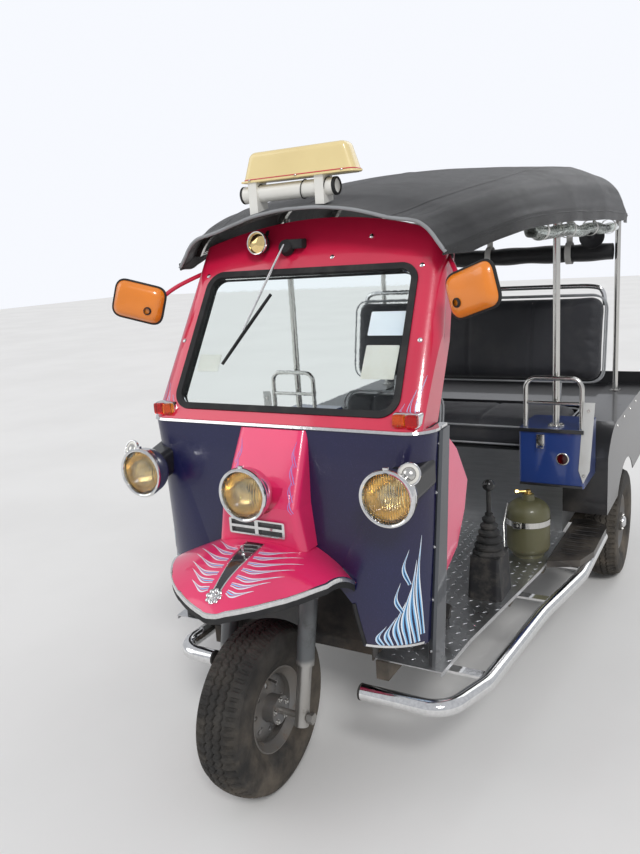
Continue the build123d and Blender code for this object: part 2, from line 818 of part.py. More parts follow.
# side: route in plan as x and y, bend radii, ends of the brackets
bar_tables = {
    1: (
        [(285, aft(92)), (540, aft(92)), (600, aft(270)), (640, aft(760)), *bar_tail],
        [90, 150, 700, 400], [585, 645, 690],
    ),
    -1: (
        [(230, aft(82)), (374, aft(82)), (376, aft(350)), (640, aft(800)), *bar_tail],
        [70, 300, 300, 400], [372, 645, 690],
    ),
}
bracket_ys = [aft(310), aft(880), off_rear(-750)]
with BuildPart() as side_bars:
    for side, (bar_route, bar_bends, bracket_ends) in bar_tables.items():
        with BuildLine(level_plane(side_bar_z)) as bar_line:
            FilletPolyline(*[(side * x, y) for x, y in bar_route], radius=bar_bends)
        with BuildSketch(Plane(origin=bar_line.line @ 0, z_dir=bar_line.line % 0)):
            Circle(side_bar_radius)
        sweep()
        for bracket_y, outer_x in zip(bracket_ys, bracket_ends):
            inner_x = rail_spread + rail_width / 2 + seat_gap
            with BuildSketch(level_plane(side_bar_z - 4)):
                with Locations((side * (inner_x + outer_x) / 2, bracket_y)):
                    Rectangle(outer_x - inner_x, 36)
            extrude(amount=8)
finish(side_bars.part, "side_bars")

# Passenger steps: plates with turned-down lips at the back of the side bars
with BuildPart() as steps:
    for side in (1, -1):
        with BuildSketch(level_plane(side_bar_z + side_bar_radius + seat_gap)):
            with BuildLine():
                Polyline(
                    (side * 578, off_rear(-850)),
                    (side * 690, off_rear(-800)),
                    (side * 722, off_rear(-690)),
                )
                Line((side * 722, off_rear(-690)), (side * 722, off_rear(-450)))
                ThreePointArc(
                    (side * 722, off_rear(-450)),
                    (side * 688, off_rear(-360)),
                    (side * 610, off_rear(-340)),
                )
                Polyline(
                    (side * 610, off_rear(-340)),
                    (side * 578, off_rear(-340)),
                    (side * 578, off_rear(-850)),
                )
            make_face()
        extrude(amount=26)
        with BuildSketch(level_plane(side_bar_z + side_bar_radius + seat_gap)):
            with BuildLine():
                Polyline(
                    (side * 582, off_rear(-842)),
                    (side * 686, off_rear(-796)),
                    (side * 718, off_rear(-688)),
                )
                Line((side * 718, off_rear(-688)), (side * 718, off_rear(-452)))
                ThreePointArc(
                    (side * 718, off_rear(-452)),
                    (side * 684, off_rear(-364)),
                    (side * 610, off_rear(-344)),
                )
                Polyline(
                    (side * 610, off_rear(-344)),
                    (side * 582, off_rear(-344)),
                    (side * 582, off_rear(-842)),
                )
            make_face()
        extrude(amount=22, mode=Mode.SUBTRACT)
finish(steps.part, "steps")

# Power unit under the bench, its short propeller shaft, and the rear axle on leaf springs
engine_front_y = off_rear(-472)
engine_back_y = off_rear(-150)
engine_half_width = 205
engine_bottom = 235
engine_top = 615
with BuildPart() as engine:
    with BuildSketch(side_plane(-engine_half_width)):
        with Locations(((engine_front_y + engine_back_y) / 2, (engine_bottom + engine_top) / 2)):
            RectangleRounded(engine_back_y - engine_front_y, engine_top - engine_bottom, 30)
    extrude(amount=2 * engine_half_width)
finish(engine.part, "engine_block")

axle_tube_radius = 30
diff_radius = 108
spring_reach = 330
spring_leaf = 7
stub_end_x = track / 2 + hub_half_length + 8
with BuildPart() as rear_axle:
    with BuildSketch(side_plane(-stub_end_x)):
        with Locations((rear_axle_y, tyre_radius)):
            Circle(rear_stub_radius)
    extrude(amount=2 * stub_end_x)
    with BuildSketch(side_plane(hub_half_length + 6 - track / 2)):
        with Locations((rear_axle_y, tyre_radius)):
            Circle(axle_tube_radius)
    extrude(amount=track - 2 * hub_half_length - 12)
    with BuildSketch(Plane(origin=(0, rear_axle_y, tyre_radius), x_dir=(1, 0, 0), z_dir=(0, -1, 0))):
        with BuildLine():
            half_outline = [(30, diff_radius), (58, diff_radius - 12), (95, axle_tube_radius), (95, 0)]
            Polyline(*[(-x, y) for x, y in reversed(half_outline)], *half_outline, close=True)
        make_face()
    revolve(axis=Axis((0, rear_axle_y, tyre_radius), (1, 0, 0)))
    with BuildSketch(cross_plane(rear_axle_y - diff_radius + 18)):
        with Locations((0, tyre_radius + 30)):
            Circle(24)
    extrude(amount=rear_axle_y - diff_radius + 18 - engine_back_y - seat_gap)
    for side in (1, -1):
        for leaf, share in enumerate((1.0, 0.74, 0.5)):
            low = tyre_radius + axle_tube_radius - 2 + spring_leaf * (2 - leaf)
            rise = (rear_rail_top - rail_depth - seat_gap - spring_leaf) - low
            reach = spring_reach * share
            end_z = low + rise * share * share
            with BuildSketch(side_plane(side * rail_spread - 25)):
                with BuildLine():
                    front_end = (rear_axle_y - reach, end_z)
                    ThreePointArc(front_end, (rear_axle_y, low), (rear_axle_y + reach, end_z))
                    Line((rear_axle_y + reach, end_z), (rear_axle_y + reach, end_z + spring_leaf))
                    ThreePointArc(
                        (rear_axle_y + reach, end_z + spring_leaf), (rear_axle_y, low + spring_leaf),
                        (rear_axle_y - reach, end_z + spring_leaf),
                    )
                    Line((rear_axle_y - reach, end_z + spring_leaf), front_end)
                make_face()
            extrude(amount=50)
finish(rear_axle.part, "rear_axle")

silencer_x = -150
silencer_z = 318
with BuildPart() as exhaust:
    strut((silencer_x, engine_back_y + seat_gap, 336), (silencer_x, off_rear(200), 336), 16)
    strut((silencer_x, off_rear(190), silencer_z), (silencer_x, off_rear(520), silencer_z), 52)
    strut((silencer_x, off_rear(510), silencer_z - 18), (silencer_x, rear_end_y - 40, silencer_z - 18), 15)
finish(exhaust.part, "exhaust")

# Seat boxes: the driver's, with two stays for the padded back, and the bench across the body
driver_front_y = aft(640)
driver_box_depth = 340
driver_seat_top = 600
back_lean = radians(10)
driver_back_plane = Plane(
    origin=(0, driver_front_y + driver_box_depth + 32, driver_seat_top + 120), x_dir=(1, 0, 0),
    z_dir=(0, -cos(back_lean), sin(back_lean)),
)
stay_x = 150
stay_radius = 12
stay_depth = stay_radius + seat_gap
bench_stay_x = 420
bench_back_plane = Plane(
    origin=(0, off_rear(60), 872), x_dir=(1, 0, 0), z_dir=(0, -cos(back_lean), sin(back_lean)),
)
with BuildPart() as seat_boxes:
    with BuildSketch(level_plane(floor_top + seat_gap)):
        with Locations((0, driver_front_y + driver_box_depth / 2)):
            RectangleRounded(420, driver_box_depth, 20)
    extrude(amount=driver_seat_top - floor_top - seat_gap)
    with BuildSketch(level_plane(floor_top + seat_gap)):
        with Locations((0, driver_front_y + driver_box_depth / 2)):
            RectangleRounded(412, driver_box_depth - 8, 16)
    extrude(amount=driver_seat_top - floor_top - seat_gap - sheet, mode=Mode.SUBTRACT)
    for side in (1, -1):
        foot = (side * stay_x, driver_front_y + driver_box_depth + 8, floor_top + 5)
        rise = driver_back_plane.offset(-stay_depth).from_local_coords(Vector(side * stay_x, 40, 0))
        head = driver_back_plane.offset(-stay_depth).from_local_coords(Vector(side * stay_x, 280, 0))
        strut(foot, (rise.X, rise.Y, rise.Z), stay_radius)
        strut((rise.X, rise.Y, rise.Z), (head.X, head.Y, head.Z), stay_radius)
    with BuildSketch(level_plane(floor_top + seat_gap)):
        with Locations((0, (bench_front_y + bench_back_y) / 2)):
            Rectangle(2 * bench_half_width, bench_back_y - bench_front_y)
    extrude(amount=bench_top - floor_top - seat_gap)
    with BuildSketch(level_plane(floor_top + seat_gap)):
        with Locations((0, (bench_front_y + sheet + bench_back_y) / 2)):
            Rectangle(2 * (bench_half_width - sheet), bench_back_y - bench_front_y - sheet)
    extrude(amount=bench_top - sheet - floor_top - seat_gap, mode=Mode.SUBTRACT)
    for side in (1, -1):
        foot = bench_back_plane.offset(-stay_depth).from_local_coords(Vector(side * bench_stay_x, -174, 0))
        head = bench_back_plane.offset(-stay_depth).from_local_coords(Vector(side * bench_stay_x, 400, 0))
        strut((foot.X, foot.Y, foot.Z), (head.X, head.Y, head.Z), stay_radius)
finish(seat_boxes.part, "seat_boxes")
driver_pad = 95
with BuildPart() as driver_pads:
    with BuildSketch(level_plane(driver_seat_top + seat_gap)):
        with Locations((0, driver_front_y + driver_box_depth / 2 - 10)):
            RectangleRounded(450, driver_box_depth + 30, 60)
    extrude(amount=driver_pad)
    fillet(driver_pads.faces().sort_by(Axis.Z)[-1].edges(), 28)
    with BuildSketch(driver_back_plane):
        with Locations((0, 160)):
            RectangleRounded(430, 300, 60)
    extrude(amount=62)
finish(driver_pads.part, "driver_seat_pads")

# Controls: the gear lever's cast foot and ribbed gaiter at the driver's left, and the pedals
gear_x = 455
gear_y = aft(780)
gear_box_height = 150
gaiter_ribs = 6
gaiter_base = floor_top + seat_gap + gear_box_height - 2
gaiter_step = 24
gaiter_top = gaiter_base + gaiter_ribs * gaiter_step
with BuildPart() as controls:
    with BuildSketch(level_plane(floor_top + seat_gap)):
        with Locations((gear_x, gear_y)):
            RectangleRounded(120, 150, 18)
    extrude(amount=gear_box_height, taper=4)
    with BuildSketch(side_plane(gear_x)):
        with BuildLine():
            outline = [(gear_y, gaiter_base)]
            for rib in range(gaiter_ribs):
                outer = 58 - 7 * rib
                z = gaiter_base + rib * gaiter_step
                outline += [(gear_y + outer, z), (gear_y + outer, z + 7)]
                outline += [(gear_y + outer - 11, z + gaiter_step / 2 + 4)]
            outline += [(gear_y + 14, gaiter_top), (gear_y, gaiter_top)]
            Polyline(*outline, close=True)
        make_face()
    revolve(axis=Axis((gear_x, gear_y, 0), (0, 0, 1)))
    strut((gear_x, gear_y, gaiter_top - 10), (gear_x, gear_y, gaiter_top + 90), 8)
    with Locations((gear_x, gear_y, gaiter_top + 100)):
        Sphere(21)
    for pedal_x in (400, 330, -400):
        with BuildSketch(side_plane(pedal_x - 6)):
            with BuildLine():
                Polyline(
                    (aft(470), floor_top + seat_gap), (aft(500), floor_top + seat_gap),
                    (aft(500), floor_top + 20), (aft(452), floor_top + 74), (aft(444), floor_top + 66),
                    (aft(470), floor_top + 34), close=True,
                )
            make_face()
        extrude(amount=12)
        pad_origin = (pedal_x, aft(446), floor_top + 72)
        with BuildSketch(Plane(origin=pad_origin, x_dir=(1, 0, 0), z_dir=(0, -0.8, 0.6))):
            RectangleRounded(62, 46, 8)
        extrude(amount=9, both=True)
finish(controls.part, "driver_controls")

# Side boxes ahead of the rear wheels, and the bottle that stands under the left one
side_box_inner = 446
side_box_outer = 690
side_box_bottom = 632
side_box_top = 858
side_box_width = side_box_outer - side_box_inner
side_box_length = bench_front_y - seat_gap - side_box_front_y
with BuildPart() as side_boxes:
    for side in (1, -1):
        box_middle_x = side * (side_box_inner + side_box_outer) / 2
        box_centre = (box_middle_x, side_box_front_y + side_box_length / 2)
        with BuildSketch(level_plane(side_box_bottom)):
            with Locations(box_centre):
                RectangleRounded(side_box_width, side_box_length, 10)
        extrude(amount=side_box_top - side_box_bottom)
        with BuildSketch(level_plane(side_box_bottom)):
            with Locations(box_centre):
                RectangleRounded(side_box_width - 2 * sheet, side_box_length - 2 * sheet, 10 - sheet)
        extrude(amount=side_box_top - side_box_bottom - sheet, mode=Mode.SUBTRACT)
finish(side_boxes.part, "side_boxes")

bottle_radius = 82
bottle_x = 490
bottle_y = off_rear(-780)
bottle_bottom = floor_top + seat_gap
bottle_top = side_box_bottom - 26
with BuildPart() as bottle:
    with BuildSketch(side_plane(bottle_x)):
        with BuildLine():
            Line((bottle_y, bottle_bottom), (bottle_y + 60, bottle_bottom))
            Line((bottle_y + 60, bottle_bottom), (bottle_y + 62, bottle_bottom + 14))
            ThreePointArc(
                (bottle_y + 62, bottle_bottom + 14), (bottle_y + 76, bottle_bottom + 24),
                (bottle_y + bottle_radius, bottle_bottom + 46),
            )
            Line((bottle_y + bottle_radius, bottle_bottom + 46), (bottle_y + bottle_radius, bottle_top - 70))
            ThreePointArc(
                (bottle_y + bottle_radius, bottle_top - 70), (bottle_y + 62, bottle_top - 34),
                (bottle_y + 26, bottle_top - 22),
            )
            Polyline((bottle_y + 26, bottle_top - 22), (bottle_y + 22, bottle_top), (bottle_y, bottle_top))
            Line((bottle_y, bottle_top), (bottle_y, bottle_bottom))
        make_face()
    revolve(axis=Axis((bottle_x, bottle_y, 0), (0, 0, 1)))
finish(bottle.part, "gas_bottle")

bench_pad = 125
bench_cushion_depth = 460
with BuildPart() as bench_cushion:
    with BuildSketch(level_plane(bench_top + seat_gap)):
        with Locations((0, bench_front_y + bench_cushion_depth / 2)):
            RectangleRounded(2 * bench_half_width - 4, bench_cushion_depth - 2 * seat_gap, 50)
    extrude(amount=bench_pad)
    fillet(bench_cushion.faces().sort_by(Axis.Z)[-1].edges(), 35)
finish(bench_cushion.part, "bench_cushion")

bench_back_half = 640
with BuildPart() as bench_back:
    with BuildSketch(bench_back_plane):
        with Locations((0, 225)):
            RectangleRounded(2 * bench_back_half, 430, 70)
    extrude(amount=96)
    fillet(bench_back.faces().sort_by(Axis.Y)[0].edges(), 30)
finish(bench_back.part, "bench_backrest")

# Rear quarters: box-shaped guards over the rear wheels with round arches
arch_radius = 305
guard_inner = bench_half_width + seat_gap
with BuildPart() as quarters:
    for side in (1, -1):
        with BuildSketch(side_plane(side * guard_inner)):
            with BuildLine():
                Polyline((tail_y, 452), (tail_y, quarter_top), (off_rear(-310), quarter_top))
                ThreePointArc(
                    (off_rear(-310), quarter_top),
                    (off_rear(-440), quarter_top - 48),
                    (bench_front_y + seat_gap, 690),
                )
                Polyline((bench_front_y + seat_gap, 690), (bench_front_y + seat_gap, 452), (tail_y, 452))
            make_face()
        extrude(amount=side * (quarter_half_width - guard_inner))
        with BuildSketch(side_plane(side * (guard_inner + sheet))):
            with BuildLine():
                Polyline(
                    (tail_y - sheet, 440), (tail_y - sheet, quarter_top - sheet),
                    (off_rear(-308), quarter_top - sheet),
                )
                ThreePointArc(
                    (off_rear(-308), quarter_top - sheet), (off_rear(-437), quarter_top - 51),
                    (bench_front_y + seat_gap + sheet, 688),
                )
                Polyline(
                    (bench_front_y + seat_gap + sheet, 688), (bench_front_y + seat_gap + sheet, 440),
                    (tail_y - sheet, 440),
                )
            make_face()
        extrude(amount=side * (quarter_half_width - guard_inner - 2 * sheet), mode=Mode.SUBTRACT)
        with BuildSketch(side_plane(side * 500)):
            with Locations((rear_axle_y, tyre_radius)):
                Circle(arch_radius)
        extrude(amount=side * 300, mode=Mode.SUBTRACT)
finish(quarters.part, "quarters")

# Rear deck and tail panel
deck_bottom = 776
plate_bolt_spacing = 210
plate_bolt_radius = 3.5
plate_z = 640
with BuildPart() as tail:
    with BuildSketch(level_plane(deck_bottom)):
        with Locations((0, (bench_back_y + tail_y + 1) / 2)):
            Rectangle(2 * bench_half_width, tail_y + 1 - bench_back_y)
    extrude(amount=16)
    with BuildSketch(cross_plane(tail_y + seat_gap)):
        with Locations((0, (452 + 862) / 2)):
            RectangleRounded(2 * quarter_half_width, 862 - 452, 30)
    extrude(amount=-sheet)
    with BuildSketch(cross_plane(tail_y + seat_gap + sheet)):
        with Locations((0, plate_z)):
            RectangleRounded(340, 150, 10)
    extrude(amount=-sheet)
    with BuildSketch(cross_plane(tail_y + 20)):
        with Locations((0, plate_z)):
            with GridLocations(plate_bolt_spacing, 0, 2, 1):
                Circle(plate_bolt_radius)
    extrude(amount=40, mode=Mode.SUBTRACT)
finish(tail.part, "tail_body")

# Marker lamps: turn indicators at the foot of the surround, and the tail lamps
indicator_x = 418
with BuildPart() as markers:
    for side in (1, -1):
        with BuildSketch(cross_plane(aft(255))):
            with Locations((side * indicator_x, belt_height + 34)):
                RectangleRounded(64, 34, 12)
        extrude(amount=90)
    add(nose_solid(screen_sections, screen_backs, inset=-seat_gap), mode=Mode.SUBTRACT)
    for side in (1, -1):
        with BuildSketch(cross_plane(tail_y + 2 * seat_gap + sheet)):
            with Locations((side * 600, 720)):
                RectangleRounded(160, 84, 14)
        extrude(amount=-34)
    fillet(markers.faces().group_by(Axis.Y)[-1].edges(), 8)
finish(markers.part, "marker_lamps")

with BuildPart() as bumper:
    bumper_z = rear_rail_top - 10
    with BuildLine(level_plane(bumper_z)) as bumper_line:
        FilletPolyline(
            (-640, tail_y - 60), (-640, rear_end_y - 22), (640, rear_end_y - 22), (640, tail_y - 60),
            radius=60,
        )
    with BuildSketch(Plane(origin=bumper_line.line @ 0, z_dir=bumper_line.line % 0)):
        Circle(22)
    sweep()
    for side in (1, -1):
        with BuildSketch(cross_plane(rear_end_y - 30)):
            with Locations((side * rail_spread, bumper_z)):
                Rectangle(34, 30)
        extrude(amount=80 - seat_gap)
finish(bumper.part, "rear_bumper")

# Canopy. Columns: y, half width, edge height, shoulder half width, shoulder height, crown height
canopy_sections = [
    (aft(385), 470, 1545, 300, 1652, 1702),
    (aft(800), 600, 1630, 440, 1748, 1790),
    (off_rear(-450), 660, 1655, 500, 1835, 1870),
    (off_rear(310), 665, 1660, 520, 1845, 1877),
    (off_rear(540), 645, 1650, 500, 1800, 1832),
]


def canopy_at(y):
    """The canopy's section at any y, drawn from the table in straight steps."""
    for low, high in zip(canopy_sections, canopy_sections[1:]):
        if y <= high[0]:
            share = (y - low[0]) / (high[0] - low[0])
            return [a + share * (b - a) for a, b in zip(low[1:], high[1:])]
    return list(canopy_sections[-1][1:])


def roof_ribbon(half, edge, shoulder, shoulder_z, crown, inner, outer):
    """Band that follows the canopy's section, between two depths below its outer face."""
    with BuildLine() as line:
        points = []
        for depth in (outer, inner):
            bulge_x = (half + shoulder) / 2 + 0.16 * (shoulder_z - edge) - 0.75 * depth
            bulge_z = (edge + shoulder_z) / 2 + 0.16 * (half - shoulder) - 0.6 * depth
            points.append([
                (half - depth, edge), (bulge_x, bulge_z), (shoulder - 0.4 * depth, shoulder_z - depth),
                (0, crown - depth),
            ])
        for run in points:
            edge_p, bulge, shoulder_p, top = run
            ThreePointArc(edge_p, bulge, shoulder_p)
            ThreePointArc(shoulder_p, top, (-shoulder_p[0], shoulder_p[1]))
            ThreePointArc((-shoulder_p[0], shoulder_p[1]), (-bulge[0], bulge[1]), (-edge_p[0], edge_p[1]))
        for sign in (1, -1):
            Line((sign * points[0][0][0], points[0][0][1]), (sign * points[1][0][0], points[1][0][1]))
    return line


def roof_core(half, edge, shoulder, shoulder_z, crown, grow):
    """Closed section of all that lies under the canopy's outer face, drawn out by grow."""
    bulge_x = (half + shoulder) / 2 + 0.16 * (shoulder_z - edge)
    bulge = (bulge_x, (edge + shoulder_z) / 2 + 0.16 * (half - shoulder))
    with BuildLine() as line:
        ThreePointArc((half, edge), bulge, (shoulder, shoulder_z + grow))
        ThreePointArc((shoulder, shoulder_z + grow), (0, crown + grow), (-shoulder, shoulder_z + grow))
        ThreePointArc((-shoulder, shoulder_z + grow), (-bulge[0], bulge[1]), (-half, edge))
        Line((-half, edge), (half, edge))
    return line


with BuildPart() as canopy:
    for y, *section in canopy_sections:
        with BuildSketch(cross_plane(y)):
            add(roof_ribbon(*section, inner=canopy_thickness, outer=0).line)
            make_face()
    loft(ruled=True)
finish(canopy.part, "canopy")

# Roof frame: bows under the canopy, joined by side rails and carried by four posts
bow_depth = 22
bow_top = canopy_thickness + seat_gap
bow_half_length = 16
bow_ys = [aft(545), mid_post_y, off_rear(-150), rear_post_y]
rail_radius = 9
rail_inset = bow_top + bow_depth / 2 + 6
rail_lift = 9
# x, y, foot height
post_table = [
    (mid_post_x, mid_post_y, side_box_top + seat_gap),
    (rear_post_x, rear_post_y, quarter_top + seat_gap),
]
with BuildPart() as roof_frame:
    for y, *section in canopy_sections:
        with BuildSketch(cross_plane(y)):
            add(roof_ribbon(*section, inner=bow_top + bow_depth, outer=bow_top).line)
            make_face()
    loft(ruled=True)
    with BuildSketch(level_plane(quarter_top)):
        with Locations(*[(0, bow_y) for bow_y in bow_ys]):
            Rectangle(2 * quarter_half_width, 2 * bow_half_length)
    extrude(amount=1200, mode=Mode.INTERSECT)
    for side in (1, -1):
        for front_bow_y, back_bow_y in zip(bow_ys, bow_ys[1:]):
            rail_ends = []
            for end_y in (front_bow_y + bow_half_length / 2, back_bow_y - bow_half_length / 2):
                half, edge_z, *_ = canopy_at(end_y)
                rail_ends.append((side * (half - rail_inset), end_y, edge_z + rail_lift))
            strut(*rail_ends, rail_radius)
    for post_x, post_y, post_foot in post_table:
        half, edge_z, shoulder, shoulder_z, _ = canopy_at(post_y)
        post_rise = max(half - tube_radius - 17 - post_x, 0) / (half - shoulder) * (shoulder_z - edge_z)
        post_head = edge_z + post_rise + 30
        for side in (1, -1):
            strut((side * post_x, post_y, post_foot), (side * post_x, post_y, post_head), tube_radius)
            with BuildSketch(level_plane(post_foot)):
                with Locations((side * post_x, post_y)):
                    RectangleRounded(52, 52, 6)
            extrude(amount=5)
finish(roof_frame.part, "roof_frame")

# Guard rails: bright hoops with two bars over the side boxes
hoop_radius = 9
hoop_top = 1050
with BuildPart() as guards:
    for side in (1, -1):
        hoop_y = side_box_front_y + 20
        foot_z = side_box_top + seat_gap
        inner_x = side * 468
        outer_x = side * 676
        with BuildLine(Plane(origin=(0, hoop_y, 0), x_dir=(1, 0, 0), z_dir=(0, -1, 0))) as hoop:
            FilletPolyline(
                (inner_x, foot_z), (inner_x, hoop_top), (outer_x, hoop_top), (outer_x, foot_z), radius=40,
            )
        with BuildSketch(Plane(origin=hoop.line @ 0, z_dir=hoop.line % 0)):
            Circle(hoop_radius)
        sweep()
        strut((inner_x, hoop_y, 955), (outer_x, hoop_y, 955), 7)
finish(guards.part, "guard_rails")

# Rear curtain, rolled up between the rear posts
curtain_radius = 54
with BuildPart() as curtain:
    with BuildSketch(side_plane(-(rear_post_x - tube_radius - seat_gap))):
        with Locations((rear_post_y - 20, 1486)):
            Circle(curtain_radius)
    extrude(amount=2 * (rear_post_x - tube_radius - seat_gap))
finish(curtain.part, "rear_curtain_roll")

# Roof sign: a blank lens on a base plate, and the white tube that carries it
sign_width = 392
sign_bottom = 1786
sign_height = 88
sign_y = aft(430)
with BuildPart() as sign:
    with BuildSketch(cross_plane(sign_y + 34)):
        with Locations((0, sign_bottom + sign_height / 2)):
            Trapezoid(sign_width, sign_height, 72)
    extrude(amount=68)
    fillet(sign.faces().sort_by(Axis.Z)[-1].edges(), 20)
finish(sign.part, "roof_sign")

carrier_radius = 26
carrier_z = sign_bottom - carrier_radius - 8
roof_faces = []
for y, *section in canopy_sections[:2]:
    with BuildSketch(cross_plane(y)) as roof_face:
        add(roof_core(*section, grow=seat_gap).line)
        make_face()
    roof_faces.append(roof_face.sketch)
roof_keepout = loft(roof_faces, ruled=True, mode=Mode.PRIVATE)
with BuildPart() as sign_carrier:
    with BuildSketch(side_plane(-210)):
        with Locations((sign_y, carrier_z)):
            Circle(carrier_radius)
    extrude(amount=330)
    for strap_x in (-176, 60):
        with BuildSketch(cross_plane(sign_y + 30)):
            with BuildLine():
                strap_low = canopy_at(sign_y)[4] - 40
                Polyline(
                    (strap_x, strap_low), (strap_x + 30, strap_low), (strap_x + 30, sign_bottom - seat_gap),
                    (strap_x, sign_bottom - seat_gap), close=True,
                )
            make_face()
        extrude(amount=60)
    add(roof_keepout, mode=Mode.SUBTRACT)
finish(sign_carrier.part, "sign_carrier")

# Mirrors: each on an arm from the top of the screen surround
mirror_width = 172
mirror_height = 124
mirror_centre = (578, aft(300), 1440)
mirror_turn = 24
arm_root = (428, aft(520), 1530)
with BuildPart() as mirrors:
    for side in (1, -1):
        mirror_plane = Plane(
            origin=(side * mirror_centre[0], mirror_centre[1], mirror_centre[2]),
            x_dir=(cos(radians(mirror_turn)), -side * sin(radians(mirror_turn)), side * 0.3),
            z_dir=(side * sin(radians(mirror_turn)), cos(radians(mirror_turn)), 0),
        )
        with BuildSketch(mirror_plane):
            RectangleRounded(mirror_width, mirror_height, 34)
        with BuildSketch(mirror_plane.offset(-34)):
            RectangleRounded(mirror_width - 44, mirror_height - 40, 26)
        loft(ruled=True)
        back = mirror_plane.offset(-20).from_local_coords(Vector(-side * 40, 20, 0))
        strut((side * arm_root[0], arm_root[1], arm_root[2]), (back.X, back.Y, back.Z), 8)
    add(nose_solid(screen_sections, screen_backs, inset=-seat_gap), mode=Mode.SUBTRACT)
finish(mirrors.part, "mirrors")
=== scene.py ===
import json
from math import cos, exp, pi, radians, sin, tan

import bmesh
import bpy
from mathutils import Matrix, Vector, noise
from mathutils.bvhtree import BVHTree


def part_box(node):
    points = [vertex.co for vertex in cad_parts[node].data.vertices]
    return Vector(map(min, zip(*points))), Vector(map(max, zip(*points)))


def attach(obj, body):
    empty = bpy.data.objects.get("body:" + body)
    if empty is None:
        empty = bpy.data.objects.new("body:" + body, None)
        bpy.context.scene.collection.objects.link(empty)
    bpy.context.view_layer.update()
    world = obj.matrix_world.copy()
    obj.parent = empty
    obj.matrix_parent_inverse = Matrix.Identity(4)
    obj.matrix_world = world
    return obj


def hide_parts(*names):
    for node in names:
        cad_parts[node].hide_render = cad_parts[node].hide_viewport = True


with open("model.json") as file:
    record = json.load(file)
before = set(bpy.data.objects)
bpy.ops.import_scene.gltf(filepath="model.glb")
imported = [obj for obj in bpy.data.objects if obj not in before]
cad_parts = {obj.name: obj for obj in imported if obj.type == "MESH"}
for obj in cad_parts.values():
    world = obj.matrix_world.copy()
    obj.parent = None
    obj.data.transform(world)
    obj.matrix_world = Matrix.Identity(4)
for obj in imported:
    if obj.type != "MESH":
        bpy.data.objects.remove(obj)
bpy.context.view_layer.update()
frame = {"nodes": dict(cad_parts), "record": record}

bl_info = {
    "name": "Auto Rickshaw Looks",
    "version": (1, 0, 0),
    "blender": (4, 5, 0),
    "location": "3D View > Sidebar > Rickshaw",
    "description": "Dresses the packed auto rickshaw with its paint, tyres, seats, canopy and trim",
    "category": "Object",
}

# What several pieces read from the frame; places are in metres
record_slots = {part["node"]: part["material_slot"] for part in frame["record"]["subparts"]}


def box_of(node):
    low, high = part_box(node)
    return low, high, (low + high) / 2


front_axle = box_of("front_tyre")[2]
tyre_radius = front_axle.z
floor_top = box_of("floor_plate")[1].z


def aft(distance):
    """Y of a place this many metres behind the front axle."""
    return front_axle.y + distance


def place(x, distance, z):
    return Vector((x, aft(distance), z))


def lerp(a, b, share):
    return a + (b - a) * share


def smooth_step(share):
    share = min(max(share, 0), 1)
    return share * share * (3 - 2 * share)


# Finishes


class Value:
    """A shader socket that takes part in Python sums; each sum adds a Math node."""

    def __init__(self, finish, socket):
        self.finish = finish
        self.socket = socket

    def math(self, operation, *others):
        return self.finish.node("ShaderNodeMath", {"operation": operation}, [self, *others])

    def __add__(self, other):
        return self.math("ADD", other)

    __radd__ = __add__

    def __mul__(self, other):
        return self.math("MULTIPLY", other)

    __rmul__ = __mul__

    def __sub__(self, other):
        return self.math("SUBTRACT", other)

    def __rsub__(self, other):
        return self.finish.node("ShaderNodeMath", {"operation": "SUBTRACT"}, [other, self])

    def __gt__(self, other):
        return self.math("GREATER_THAN", other)

    def sine(self):
        return self.math("SINE")

    def ramp(self, low, high):
        """0 below low, 1 above high, smooth between them."""
        settings = {"interpolation_type": "SMOOTHSTEP"}
        sockets = {"Value": self, "From Min": low, "From Max": high}
        return self.finish.node("ShaderNodeMapRange", settings, sockets)


